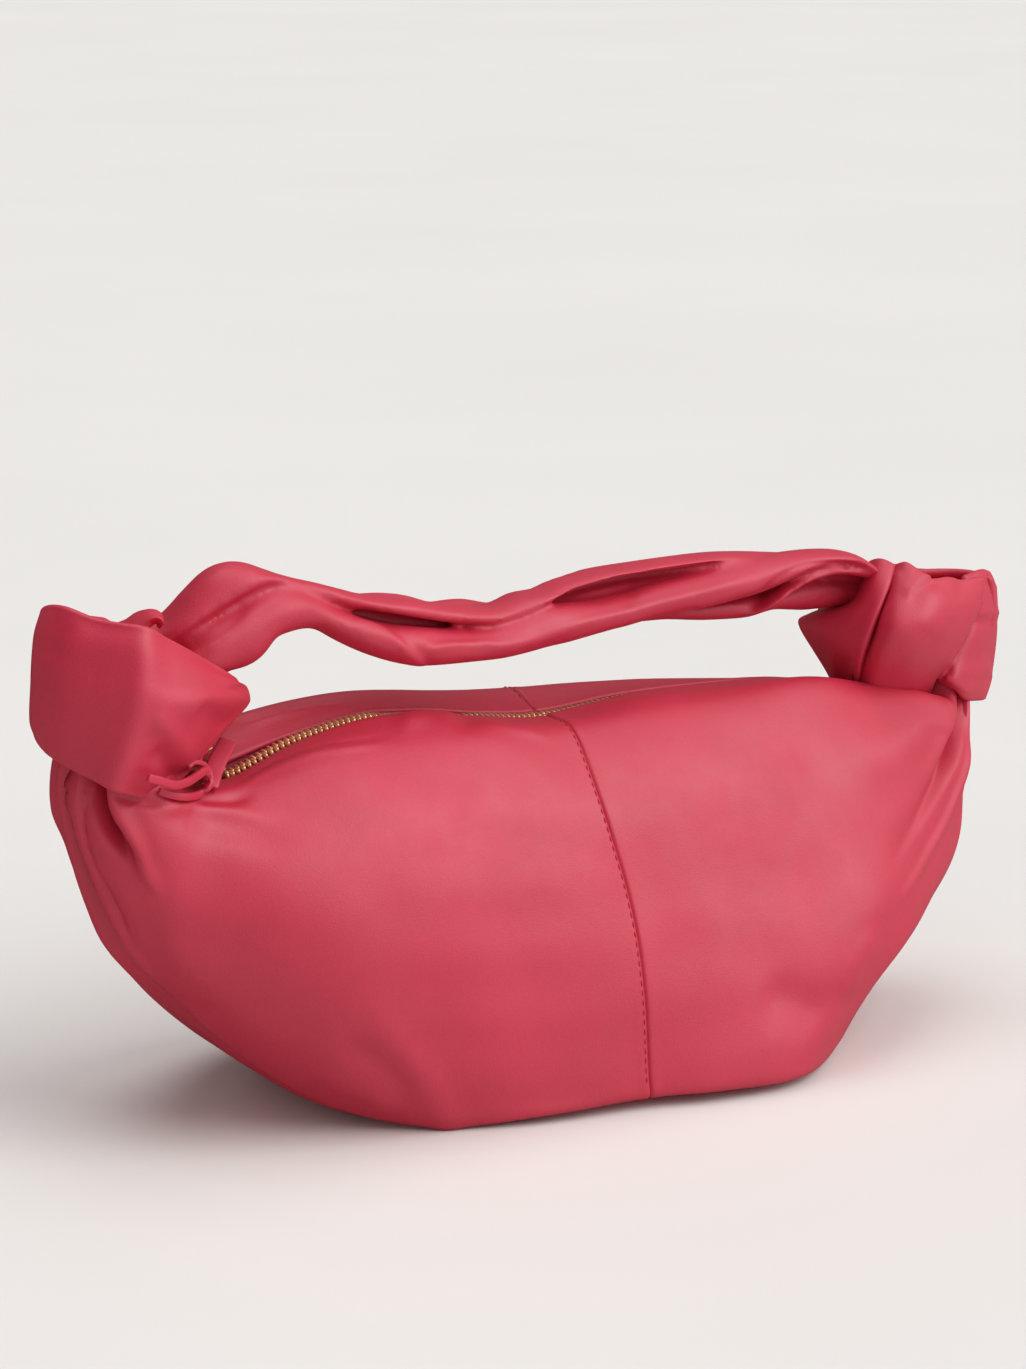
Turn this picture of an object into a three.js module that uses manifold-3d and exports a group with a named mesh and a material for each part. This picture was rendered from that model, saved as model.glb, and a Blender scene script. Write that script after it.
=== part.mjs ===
// A small soft-leather top handle bag: a gathered pouch with a metal zip along its mouth, a knot at each
// end and a twisted strap handle between the knots. Millimetres, +Z up, +X along the mouth, -Y is the front.
// The origin is the middle of the flat base, on the surface that the bag stands on.
import * as THREE from "three";
import { mergeVertices } from "three/addons/utils/BufferGeometryUtils.js";
import Module from "manifold-3d";

const wasm = await Module();
wasm.setup();

// ---- driving dimensions -------------------------------------------------------------------------------
const LEATHER = 1.6; // outer leather
const LINING = 0.8; // lining cloth
const LINING_GAP = 1.7; // air between leather and lining
const MOUTH = 110; // half length of the part of the mouth that opens
const SPLIT_GAP = 0.6; // between neighbouring pieces
const ZIP_Z = 113; // height of the leather edges beside the zip, at the middle
const ZIP_SLOPE = 0.03; // the mouth rises a little from the slider end to the far end
const ZIP_PITCH = 1.9; // of the teeth on one tape
const TEETH_END = 104; // half length of the toothed chain
const TOOTH_TIP = 0.8; // how far a tooth reaches past the middle line
const TOOTH_ROOT = 2.5;
const TOOTH_THICK = 2.2;
const TAPE_THICK = 0.7;
const TAPE_EDGE = 7.4; // outer edge of each tape, under the leather
const SLIDER_X = -118.5; // middle of the slider with the zip closed
const SLIDER_L = 11;
const SLIDER_W = 7;
const BASE_X = 60,
  BASE_Y = 54; // half size of the flat base
const HANDLE_RY = 10,
  HANDLE_RZ = 10; // half size of the strap, as folded
const GRIP_X = 42; // half length of the middle of the handle

// ---- the pouch: half profiles from the zip edge to the middle of the bottom, at stations along the bag ---
// Each row holds [distance from the middle plane, height] pairs.
const STATIONS_LEFT = [0, 30, 60, 88, 111, 133, 147, 156];
const STATIONS_RIGHT = [0, 30, 60, 91, 117, 141, 157, 168];
const FRONT = [
  [[5, 113], [22, 112], [41, 92], [54, 63], [61, 34], [62, 12], [59.5, 2.6], [0, 0]],
  [[5, 113], [22, 112], [41, 92], [54, 63], [61, 34], [62, 12], [59.5, 2.6], [0, 0]],
  [[5, 113], [22, 111.5], [40, 93], [53, 66], [60, 39], [60, 14], [55.5, 2.8], [0, 0]],
  [[5, 113], [20, 110.5], [37, 94], [49, 72], [56, 48], [55, 23], [46, 8.5], [0, 4]],
  [[5, 112], [17, 108.5], [31, 96], [41, 78], [46, 58], [43, 37], [32, 23], [0, 19]],
  [[4, 107], [13, 105], [22, 97], [29, 85], [31, 70], [28, 56], [20, 47], [0, 43]],
  [[3.5, 105], [9, 104], [14, 100], [18, 93], [19, 84], [17, 75], [12, 69], [0, 66]],
  [[3, 104], [6, 103.5], [9, 102], [11, 98], [11.5, 93], [10, 88], [7, 84.5], [0, 83]],
];
const BACK = [
  [[5, 113], [20, 117.5], [40, 100], [54, 68], [61, 37], [62, 13], [59.5, 2.6], [0, 0]],
  [[5, 113], [20, 117], [40, 99], [54, 68], [61, 37], [62, 13], [59.5, 2.6], [0, 0]],
  [[5, 113], [19, 115.5], [39, 98], [53, 69], [60, 41], [60, 15], [55.5, 2.8], [0, 0]],
  [[5, 113], [18, 112], [36, 97], [49, 74], [56, 49], [55, 24], [46, 8.5], [0, 4]],
  [[5, 112], [16, 109], [30, 97], [41, 79], [46, 59], [43, 38], [32, 23], [0, 19]],
  [[4, 107], [12, 105.5], [22, 97], [29, 85], [31, 70], [28, 56], [20, 47], [0, 43]],
  [[3.5, 105], [9, 104], [14, 100], [18, 93], [19, 84], [17, 75], [12, 69], [0, 66]],
  [[3, 104], [6, 103.5], [9, 102], [11, 98], [11.5, 93], [10, 88], [7, 84.5], [0, 83]],
];
const TILT_SHARE = [1, 1, 0.75, 0.45, 0.15, 0, 0, 0]; // how much of the mouth's slope each profile point takes
const EDGE = 6; // profile value at the bottom edge of the front and back

function spline(points, t) {
  // Catmull-Rom through a list of equal-length rows
  const n = points.length - 1;
  const i = Math.min(Math.max(Math.floor(t), 0), n - 1),
    f = t - i;
  const p1 = points[i],
    p2 = points[i + 1];
  const p0 = i > 0 ? points[i - 1] : p1.map((a, k) => 2 * a - p2[k]);
  const p3 = i + 2 <= n ? points[i + 2] : p2.map((a, k) => 2 * a - p1[k]);
  return p1.map(
    (a, k) =>
      0.5 *
      (2 * a +
        (p2[k] - p0[k]) * f +
        (2 * p0[k] - 5 * a + 4 * p2[k] - p3[k]) * f * f +
        (3 * a - p0[k] - 3 * p2[k] + p3[k]) * f * f * f),
  );
}

function slope(x) {
  // rise of the mouth at x, fading out over the gathered ends
  const f = Math.min(Math.max((Math.abs(x) - MOUTH) / 46, 0), 1);
  return ZIP_SLOPE * x * (1 - f * f * (3 - 2 * f));
}

function section(x, back) {
  const stations = x < 0 ? STATIONS_LEFT : STATIONS_RIGHT,
    ax = Math.abs(x);
  let i = 0;
  while (i < stations.length - 2 && ax > stations[i + 1]) i++;
  const t = i + (ax - stations[i]) / (stations[i + 1] - stations[i]);
  const table = back ? BACK : FRONT;
  const flat = table.map((row) => row.flat());
  const row = spline([flat[1], ...flat], t + 1); // even about the middle
  const out = [];
  for (let j = 0; j < 8; j++)
    out.push([row[2 * j], row[2 * j + 1] + slope(x) * TILT_SHARE[j]]);
  return out;
}

// A point of the pouch's outer surface, moved inwards by depth, in the plane of its section.
function skin(x, v, back, depth) {
  const s = section(x, back),
    e = 0.02;
  const p = spline(s, v),
    a = spline(s, Math.max(0, v - e)),
    b = spline(s, Math.min(7, v + e));
  let ty = b[0] - a[0],
    tz = b[1] - a[1];
  const len = Math.hypot(ty, tz) || 1;
  ty /= len;
  tz /= len;
  const y = p[0] + tz * depth,
    z = p[1] - ty * depth; // outwards is to the left of the way down
  return new THREE.Vector3(x, back ? y : -y, Math.max(z, 0));
}

// ---- mesh helpers ----------------------------------------------------------------------------------------
function geometry(points, triangles) {
  let volume = 0;
  for (const [a, b, c] of triangles)
    volume += points[a].dot(new THREE.Vector3().crossVectors(points[b], points[c]));
  const g = new THREE.BufferGeometry();
  const v = new Float32Array(points.length * 3);
  points.forEach((p, i) => v.set([p.x, p.y, p.z], i * 3));
  g.setAttribute("position", new THREE.BufferAttribute(v, 3));
  g.setIndex(triangles.flatMap(([a, b, c]) => (volume < 0 ? [a, c, b] : [a, b, c])));
  return g;
}

// A closed slab between two grids of points of the same size.
function slab(A, B) {
  const nu = A.length,
    nv = A[0].length,
    points = [...A.flat(), ...B.flat()],
    t = [];
  const a = (i, j) => i * nv + j,
    b = (i, j) => nu * nv + i * nv + j;
  const quad = (p, q, r, s) => t.push([p, q, r], [p, r, s]);
  for (let i = 0; i + 1 < nu; i++)
    for (let j = 0; j + 1 < nv; j++) {
      quad(a(i, j), a(i + 1, j), a(i + 1, j + 1), a(i, j + 1));
      quad(b(i, j), b(i, j + 1), b(i + 1, j + 1), b(i + 1, j));
    }
  for (let i = 0; i + 1 < nu; i++) {
    quad(a(i, 0), b(i, 0), b(i + 1, 0), a(i + 1, 0));
    quad(a(i, nv - 1), a(i + 1, nv - 1), b(i + 1, nv - 1), b(i, nv - 1));
  }
  for (let j = 0; j + 1 < nv; j++) {
    quad(a(0, j), a(0, j + 1), b(0, j + 1), b(0, j));
    quad(a(nu - 1, j), b(nu - 1, j), b(nu - 1, j + 1), a(nu - 1, j + 1));
  }
  return geometry(points, t);
}

// A closed cup from rings of points: outer rings from the open end to the closed end, then inner ones.
function cup(outer, inner) {
  const n = outer[0].length,
    points = [...outer.flat(), ...inner.flat()],
    t = [];
  const o = (i, j) => i * n + (j % n),
    q = (i, j) => outer.length * n + i * n + (j % n);
  const quad = (p, r, s, u) => t.push([p, r, s], [p, s, u]);
  for (let i = 0; i + 1 < outer.length; i++)
    for (let j = 0; j < n; j++) quad(o(i, j), o(i + 1, j), o(i + 1, j + 1), o(i, j + 1));
  for (let i = 0; i + 1 < inner.length; i++)
    for (let j = 0; j < n; j++) quad(q(i, j), q(i, j + 1), q(i + 1, j + 1), q(i + 1, j));
  for (let j = 0; j < n; j++) quad(o(0, j), o(0, j + 1), q(0, j + 1), q(0, j));
  const middle = (ring) =>
    ring.reduce((m, p) => m.add(p), new THREE.Vector3()).multiplyScalar(1 / ring.length);
  points.push(middle(outer.at(-1)), middle(inner.at(-1)));
  const co = points.length - 2,
    ci = points.length - 1;
  for (let j = 0; j < n; j++) {
    t.push([co, o(outer.length - 1, j + 1), o(outer.length - 1, j)]);
    t.push([ci, q(inner.length - 1, j), q(inner.length - 1, j + 1)]);
  }
  return geometry(points, t);
}

function solid(g) {
  let h = g.index ? g.clone() : mergeVertices(g);
  for (const k of Object.keys(h.attributes)) if (k !== "position") h.deleteAttribute(k);
  h = mergeVertices(h, 1e-4);
  return new wasm.Manifold(
    new wasm.Mesh({
      numProp: 3,
      vertProperties: new Float32Array(h.attributes.position.array),
      triVerts: new Uint32Array(h.index.array),
    }),
  );
}

function surface(m) {
  const mesh = m.getMesh(),
    v = new Float32Array(mesh.numVert * 3);
  for (let i = 0; i < mesh.numVert; i++)
    v.set(mesh.vertProperties.subarray(i * mesh.numProp, i * mesh.numProp + 3), i * 3);
  const g = new THREE.BufferGeometry();
  g.setAttribute("position", new THREE.BufferAttribute(v, 3));
  g.setIndex(new THREE.BufferAttribute(new Uint32Array(mesh.triVerts), 1));
  return g;
}

const box = (x0, y0, z0, x1, y1, z1) =>
  new THREE.BoxGeometry(x1 - x0, y1 - y0, z1 - z0).translate(
    (x0 + x1) / 2,
    (y0 + y1) / 2,
    (z0 + z1) / 2,
  );

const spread = (a, b, n) => Array.from({ length: n + 1 }, (_, i) => a + ((b - a) * i) / n);

// ---- materials -------------------------------------------------------------------------------------------
const leather = new THREE.MeshStandardMaterial({ name: "leather", color: 0xc93f58, roughness: 0.45, metalness: 0 });
const cloth = new THREE.MeshStandardMaterial({ name: "lining", color: 0x9c2b40, roughness: 0.9, metalness: 0 });
const tape = new THREE.MeshStandardMaterial({ name: "tape", color: 0xb5384f, roughness: 0.85, metalness: 0 });
const brass = new THREE.MeshStandardMaterial({ name: "brass", color: 0xd9a760, roughness: 0.28, metalness: 1 });
const thread = new THREE.MeshStandardMaterial({ name: "thread", color: 0xa82c42, roughness: 0.7, metalness: 0 });
const board = new THREE.MeshStandardMaterial({ name: "board", color: 0x8d6f5c, roughness: 0.8, metalness: 0 });

const bag = new THREE.Group();
bag.name = "top_handle_bag";
function add(name, g, material, parent = bag) {
  const mesh = new THREE.Mesh(g, material);
  mesh.name = name;
  parent.add(mesh);
  return mesh;
}

// ---- front and back of the pouch, with a seam down the middle of each ----------------------------------------
const V = [0, 0.35, 0.7, 1, 1.35, 1.7, 2.1, 2.6, 3.1, 3.6, 4.1, 4.6, 5.1, 5.6, EDGE];
function panel(x0, x1, back, from, to, nu, rows) {
  const X = spread(x0, x1, nu);
  const at = (depth) => X.map((x) => rows.map((v) => skin(x, v, back, depth)));
  return slab(at(from), at(to));
}
const H = SPLIT_GAP / 2;
add("front_left_panel", panel(-MOUTH, -H, false, 0, LEATHER, 7, V), leather);
add("front_right_panel", panel(H, MOUTH, false, 0, LEATHER, 7, V), leather);
add("back_left_panel", panel(-MOUTH, -H, true, 0, LEATHER, 7, V), leather);
add("back_right_panel", panel(H, MOUTH, true, 0, LEATHER, 7, V), leather);

const V_LINING = [0.9, 1.3, 1.7, 2.2, 2.8, 3.4, 4, 4.6, 5.2, 5.75];
const L0 = LEATHER + LINING_GAP,
  L1 = L0 + LINING;
add("front_lining", panel(-MOUTH + 3, MOUTH - 3, false, L0, L1, 10, V_LINING), cloth);
add("back_lining", panel(-MOUTH + 3, MOUTH - 3, true, L0, L1, 10, V_LINING), cloth);
add("inner_pocket", panel(-45, 45, true, L1 + 0.5, L1 + 1.3, 4, [2.2, 2.8, 3.4, 4]), cloth);

// ---- base: flat where the bag stands, curving up towards the ends ---------------------------------------------
const baseX = [-MOUTH, -103, -96, -88, -80, -72, -66, -BASE_X, -30, 0, 30, BASE_X, 66, 72, 80, 88, 96, 103, MOUTH];
const edgeY = (x) => section(x, false)[EDGE][0] - 1.4;
const keel = (x, s) => {
  const p = section(x, false);
  const z = p[7][1] + (p[EDGE][1] - 2.5 - p[7][1]) * s * s;
  return Math.abs(x) <= BASE_X ? 0 : Math.max(0, z);
};
const baseRows = [-1, -0.5, 0, 0.5, 1];
const basePoints = (x, lift) =>
  baseRows.map((s) => {
    return new THREE.Vector3(x, s * edgeY(x), keel(x, Math.abs(s)) + lift);
  });
add("base_panel", slab(baseX.map((x) => basePoints(x, LEATHER)), baseX.map((x) => basePoints(x, 0))), leather);
add(
  "base_board",
  new THREE.ExtrudeGeometry(
    (() => {
      const s = new THREE.Shape(),
        a = BASE_X - 4,
        b = BASE_Y - 8,
        r = 12;
      s.moveTo(-a + r, -b);
      s.lineTo(a - r, -b);
      s.absarc(a - r, -b + r, r, -Math.PI / 2, 0);
      s.lineTo(a, b - r);
      s.absarc(a - r, b - r, r, 0, Math.PI / 2);
      s.lineTo(-a + r, b);
      s.absarc(-a + r, b - r, r, Math.PI / 2, Math.PI);
      s.lineTo(-a, -b + r);
      s.absarc(-a + r, -b + r, r, Math.PI, 1.5 * Math.PI);
      return s;
    })(),
    { depth: 1.5, bevelEnabled: false, curveSegments: 4 },
  ).translate(0, 0, LEATHER + 0.4),
  board,
);

// ---- gathered ends: the leather closes to a neck under each knot ------------------------------------------------
const V_END = [0, 0.5, 1, 1.6, 2.3, 3, 3.7, 4.4, 5, 5.6, 6.1, 6.6];
function ring(x, depth) {
  const front = V_END.map((v) => skin(x, v, false, depth));
  const back = V_END.map((v) => skin(x, v, true, depth));
  return [...front, skin(x, 7, false, depth).setY(0), ...back.reverse()];
}
function gathered(sign, xs, slot) {
  const outer = xs.map((x) => ring(sign * x, 0));
  const inner = xs.slice(0, -1).map((x) => ring(sign * x, LEATHER));
  let m = solid(cup(outer, inner));
  if (slot) m = m.subtract(solid(box(...slot)));
  return surface(m);
}
add(
  "left_gathered_end",
  gathered(-1, [MOUTH + SPLIT_GAP, 117, 124, 132, 140, 147, 152, 156], [-128, -5.2, 96, -MOUTH, 5.2, 130]),
  leather,
);
add(
  "right_gathered_end",
  gathered(1, [MOUTH + SPLIT_GAP, 118, 126, 135, 143, 151, 159, 168], [MOUTH, -5.2, 100, 116, 5.2, 130]),
  leather,
);

// ---- zip: two tapes, two rows of teeth, far stop and end tab. Built level, then tilted with the mouth -------------
const zip = new THREE.Group();
zip.position.set(0, 0, ZIP_Z);
zip.rotation.y = -Math.atan(ZIP_SLOPE);
bag.add(zip);
const TEETH_TOP = -0.9;
add("front_zip_tape", box(-MOUTH + 0.5, -TAPE_EDGE, -3.8, MOUTH - 0.5, -TOOTH_ROOT - 0.3, -3.8 + TAPE_THICK), tape, zip);
add("back_zip_tape", box(-MOUTH + 0.5, TOOTH_ROOT + 0.3, -3.8, MOUTH - 0.5, TAPE_EDGE, -3.8 + TAPE_THICK), tape, zip);
function teeth(sign, phase) {
  // a rack of pointed teeth; the two racks stand half a pitch apart, with a gap between their flanks
  const s = new THREE.Shape(),
    n = Math.floor((2 * TEETH_END) / ZIP_PITCH) - 1;
  const tip = TOOTH_TIP * sign,
    valley = -(TOOTH_TIP + 0.45) * sign,
    root = -TOOTH_ROOT * sign;
  const x0 = -TEETH_END + phase;
  s.moveTo(x0, root);
  for (let i = 0; i < n; i++) {
    const x = x0 + i * ZIP_PITCH;
    s.lineTo(x, valley);
    s.lineTo(x + ZIP_PITCH / 2, tip);
  }
  s.lineTo(x0 + n * ZIP_PITCH, valley);
  s.lineTo(x0 + n * ZIP_PITCH, root);
  return new THREE.ExtrudeGeometry(s, { depth: TOOTH_THICK, bevelEnabled: false }).translate(
    0,
    0,
    TEETH_TOP - TOOTH_THICK,
  );
}
add("front_zip_teeth", teeth(1, 0), brass, zip);
add("back_zip_teeth", teeth(-1, ZIP_PITCH / 2), brass, zip);
add("zip_far_stop", box(MOUTH + 1, -2.4, -3.2, MOUTH + 4, 2.4, -0.8), brass, zip);
add("zip_far_tab", box(MOUTH + 1, -4.6, -0.4, MOUTH + 5.6, 4.6, 0.9), leather, zip);

// ---- slider, its post, and the leather pull that turns on the post -------------------------------------------
const slider = new THREE.Group();
slider.position.set(SLIDER_X, 0, 0);
zip.add(slider);
const half = SLIDER_L / 2;
let s0 = solid(box(-half, -SLIDER_W / 2, -0.15, half, SLIDER_W / 2, 0.85));
s0 = s0.add(solid(box(-half, -SLIDER_W / 2, -5.2, half, SLIDER_W / 2, -4.1)));
s0 = s0.add(solid(box(-half, -0.6, -4.6, -half + 2.4, 0.6, 0.3)));
add("zip_slider", surface(s0), brass, slider);
const lathe = (rows, n = 16) =>
  new THREE.LatheGeometry(
    rows.map(([r, z]) => new THREE.Vector2(r, z)),
    n,
  ).rotateX(Math.PI / 2);
add("zip_slider_post", lathe([[0, 1.1], [1.2, 1.1], [1.2, 4.1], [2.3, 4.4], [2.3, 5], [0, 5]]), brass, slider);
const pull = new THREE.Group();
pull.position.set(0, 0, 2.7);
slider.add(pull);
const loop = new THREE.Shape();
loop.absarc(0, 0, 3.1, 0, 2 * Math.PI);
const eye = new THREE.Path();
eye.absarc(0, 0, 1.6, 0, 2 * Math.PI, true);
loop.holes.push(eye);
add(
  "zip_pull_loop",
  new THREE.ExtrudeGeometry(loop, { depth: 2, bevelEnabled: false, curveSegments: 8 }).translate(0, 0, -1),
  leather,
  pull,
);
const tailRows = [[-3.6, 0], [-8, -0.6], [-13, -1.4], [-18, -2.2], [-23, -2.6]];
const tailSide = (dz) => tailRows.map(([x, z]) => [-1.9, 1.9].map((y) => new THREE.Vector3(x, y, z + dz)));
add("zip_pull_tails", slab(tailSide(0.7), tailSide(-0.7)), leather, pull);

// ---- knots: each is a broad outer wrap over an inner turn of the same strap ------------------------------------------
function block(outline, y0, y1, bevel) {
  const s = new THREE.Shape();
  outline.forEach(([x, z], i) => (i ? s.lineTo(x, z) : s.moveTo(x, z)));
  return new THREE.ExtrudeGeometry(s, {
    depth: y1 - y0 - 2 * bevel,
    bevelEnabled: true,
    bevelThickness: bevel,
    bevelSize: bevel,
    bevelOffset: -bevel,
    bevelSegments: 2,
  })
    .rotateX(Math.PI / 2)
    .translate(0, y1 - bevel, 0);
}
add(
  "left_knot_wrap",
  block([[-172, 122], [-172, 158], [-163, 164], [-142, 158], [-141, 113], [-146, 105.6], [-156, 105.6]], -30, 30, 5),
  leather,
);
add(
  "left_knot_turn",
  block([[-140.4, 114], [-140.4, 157], [-125, 147.5], [-114, 135], [-111.5, 127], [-116, 121], [-128, 119]], -26, 26, 4),
  leather,
);
add(
  "right_knot_wrap",
  block([[140.6, 113.5], [140.6, 149], [165, 149], [173, 141], [173, 120], [167, 106], [155, 106.2]], -28, 28, 5),
  leather,
);
add(
  "right_knot_turn",
  block([[140, 114.5], [140, 148], [127, 148], [116, 142], [112.5, 133], [114, 125], [124, 120]], -25, 25, 4),
  leather,
);

// ---- handle: one strap, folded lengthways, in two runs that leave the knots and a middle that lifts -------------------
const line = new THREE.CatmullRomCurve3(
  [
    [-107, 144.5],
    [-99, 155],
    [-86, 159.5],
    [-66, 154],
    [-38, 143.5],
    [-10, 142],
    [22, 143.5],
    [56, 145],
    [84, 145.5],
    [103, 143],
  ].map(([x, z]) => new THREE.Vector3(x, 0, z)),
);
function strapTube(curve, ry, rz, steps, sides) {
  const rings = [];
  for (let i = 0; i <= steps; i++) {
    const p = curve.getPointAt(i / steps),
      t = curve.getTangentAt(i / steps);
    const n = new THREE.Vector3(-t.z, 0, t.x).normalize();
    rings.push(
      Array.from({ length: sides }, (_, k) => {
        const a = (2 * Math.PI * k) / sides;
        return p
          .clone()
          .addScaledVector(n, rz * Math.sin(a))
          .add(new THREE.Vector3(0, ry * Math.cos(a), 0));
      }),
    );
  }
  const points = rings.flat(),
    t = [],
    n = sides;
  for (let i = 0; i < steps; i++)
    for (let k = 0; k < n; k++) {
      const a = i * n + k,
        b = i * n + ((k + 1) % n);
      t.push([a, b, b + n], [a, b + n, a + n]);
    }
  for (let k = 1; k + 1 < n; k++) {
    t.push([0, k + 1, k]);
    t.push([steps * n, steps * n + k, steps * n + k + 1]);
  }
  return geometry(points, t);
}
const strap = solid(strapTube(line, HANDLE_RY, HANDLE_RZ, 34, 12));
const cut = (x0, x1) => surface(strap.intersect(solid(box(x0, -40, 60, x1, 40, 240))));
add("handle_left_run", cut(-140, -GRIP_X - H), leather);
add("handle_grip", cut(-GRIP_X + H, GRIP_X - H), leather);
add("handle_right_run", cut(GRIP_X + H, 140), leather);

// ---- lines of thread beside the middle seams ------------------------------------------------------------------------------
function seam(back) {
  const x = 3.2,
    rows = spread(0.75, 5.8, 22);
  const at = (dx, d) => rows.map((v) => skin(x + dx, v, back, d));
  return slab([at(-0.4, -1.0), at(0.4, -1.0)], [at(-0.4, -0.35), at(0.4, -0.35)]);
}
add("front_seam_thread", seam(false), thread);
add("back_seam_thread", seam(true), thread);

export default bag;
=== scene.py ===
import bpy
import math
import numpy as np
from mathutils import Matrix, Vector


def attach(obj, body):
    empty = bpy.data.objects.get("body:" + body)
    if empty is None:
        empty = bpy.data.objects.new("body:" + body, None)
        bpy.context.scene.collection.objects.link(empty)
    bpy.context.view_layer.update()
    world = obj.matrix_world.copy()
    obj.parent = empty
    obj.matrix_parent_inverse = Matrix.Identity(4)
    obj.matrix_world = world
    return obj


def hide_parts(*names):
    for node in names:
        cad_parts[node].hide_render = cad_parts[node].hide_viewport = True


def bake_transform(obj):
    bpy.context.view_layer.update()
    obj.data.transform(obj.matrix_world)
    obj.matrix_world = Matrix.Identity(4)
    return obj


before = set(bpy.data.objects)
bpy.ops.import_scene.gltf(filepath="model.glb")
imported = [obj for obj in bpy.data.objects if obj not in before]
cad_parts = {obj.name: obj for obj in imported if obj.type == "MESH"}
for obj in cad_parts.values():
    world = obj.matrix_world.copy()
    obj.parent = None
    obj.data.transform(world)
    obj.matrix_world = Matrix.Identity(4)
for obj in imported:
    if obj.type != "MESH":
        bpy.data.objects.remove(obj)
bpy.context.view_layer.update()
MM = 0.001

# ------------------------------------------------------------------------------------------------ camera
W, H = 1026, 1369
AZ, EL, DIST, FPX = math.radians(-32.0), math.radians(13.0), 1350.0, 4320.0
TARGET = np.array([-6.66, 6.44, 120.37])
BACK = np.array([math.sin(AZ) * math.cos(EL), -math.cos(AZ) * math.cos(EL), math.sin(EL)])
RIGHT = np.array([math.cos(AZ), math.sin(AZ), 0.0])
UP = np.cross(BACK, RIGHT)
EYE = TARGET + BACK * DIST


def pix(p):
    """Pixels of points in mm."""
    q = np.asarray(p, float) - EYE
    d = -(q @ BACK)
    return np.stack([(q @ RIGHT) / d * FPX + W / 2, -(q @ UP) / d * FPX + H / 2], -1)


def P(px, py, y):
    """The point in mm on a pixel's ray at that y."""
    r = -BACK + (px - W / 2) / FPX * RIGHT - (py - H / 2) / FPX * UP
    return EYE + r * ((y - EYE[1]) / r[1])


cam_data = bpy.data.cameras.new("camera")
cam = bpy.data.objects.new("camera", cam_data)
bpy.context.scene.collection.objects.link(cam)
cam_data.sensor_width = 36.0
cam_data.lens = FPX / H * 36.0
cam_data.clip_start, cam_data.clip_end = 0.05, 20
cam.location = Vector(EYE * MM)
cam.rotation_mode = "QUATERNION"
cam.rotation_quaternion = Vector(-BACK).to_track_quat("-Z", "Y")
bpy.context.scene.camera = cam


# ------------------------------------------------------------------------------------------------ small tools
def smooth(a, b, t):
    t = np.clip((np.asarray(t, float) - a) / (b - a), 0, 1)
    return t * t * (3 - 2 * t)


def cr_weights(t, n):
    """Catmull-Rom over n points at parameters t: indices and weights."""
    t = np.clip(np.asarray(t, float), 0, n - 1)
    i = np.minimum(t.astype(int), n - 2)
    f = t - i
    w = 0.5 * np.stack(
        [-f + 2 * f**2 - f**3, 2 - 5 * f**2 + 3 * f**3, f + 4 * f**2 - 3 * f**3, -(f**2) + f**3], -1
    )
    return i, w


def cr(points, t):
    """Catmull-Rom through points (n, ...) at parameters t, with straight ends."""
    p = np.asarray(points, float)
    n = len(p)
    ext = np.concatenate([[2 * p[0] - p[1]], p, [2 * p[-1] - p[-2]]])
    i, w = cr_weights(t, n)
    return sum(w[:, k].reshape((-1,) + (1,) * (p.ndim - 1)) * ext[i + k] for k in range(4))


def cr_closed(points, t):
    p = np.asarray(points, float)
    n = len(p)
    t = np.asarray(t, float) % n
    i = np.floor(t).astype(int)
    f = t - i
    w = 0.5 * np.stack(
        [-f + 2 * f**2 - f**3, 2 - 5 * f**2 + 3 * f**3, f + 4 * f**2 - 3 * f**3, -(f**2) + f**3], -1
    )
    return sum(w[:, k].reshape((-1,) + (1,) * (p.ndim - 1)) * p[(i + k - 1) % n] for k in range(4))


def grid_normals(g, closed_u=False):
    if closed_u:
        du = np.roll(g, -1, 0) - np.roll(g, 1, 0)
    else:
        du = np.gradient(g, axis=0)
    dv = np.gradient(g, axis=1)
    n = np.cross(du, dv)
    return n / np.maximum(np.linalg.norm(n, axis=-1, keepdims=True), 1e-9)


def quads(nu, nv, closed_u=False, flip=False, start=0):
    i = np.arange(nu if closed_u else nu - 1)
    j = np.arange(nv - 1)
    a, b = np.meshgrid(i, j, indexing="ij")
    a2 = (a + 1) % nu
    f = np.stack([a * nv + b, a2 * nv + b, a2 * nv + b + 1, a * nv + b + 1], -1).reshape(-1, 4) + start
    return f[:, ::-1] if flip else f


def make(name, verts, faces, mat, tris=None):
    """A smooth mesh object from points in mm and quads, and maybe triangles."""
    me = bpy.data.meshes.new(name)
    verts = np.asarray(verts, float).reshape(-1, 3) * MM
    faces = np.asarray(faces, int).reshape(-1, 4)
    loops = [faces.reshape(-1)]
    starts = [np.arange(len(faces)) * 4]
    if tris is not None and len(tris):
        tris = np.asarray(tris, int).reshape(-1, 3)
        loops.append(tris.reshape(-1))
        starts.append(len(faces) * 4 + np.arange(len(tris)) * 3)
    loops, starts = np.concatenate(loops), np.concatenate(starts)
    me.vertices.add(len(verts))
    me.vertices.foreach_set("co", verts.reshape(-1))
    me.loops.add(len(loops))
    me.loops.foreach_set("vertex_index", loops.astype(np.int32))
    me.polygons.add(len(starts))
    me.polygons.foreach_set("loop_start", starts.astype(np.int32))
    me.update(calc_edges=True)
    me.validate()
    me.polygons.foreach_set("use_smooth", np.ones(len(me.polygons), bool))
    ob = bpy.data.objects.new(name, me)
    bpy.context.scene.collection.objects.link(ob)
    if mat is not None:
        me.materials.append(mat)
    return ob


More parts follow.
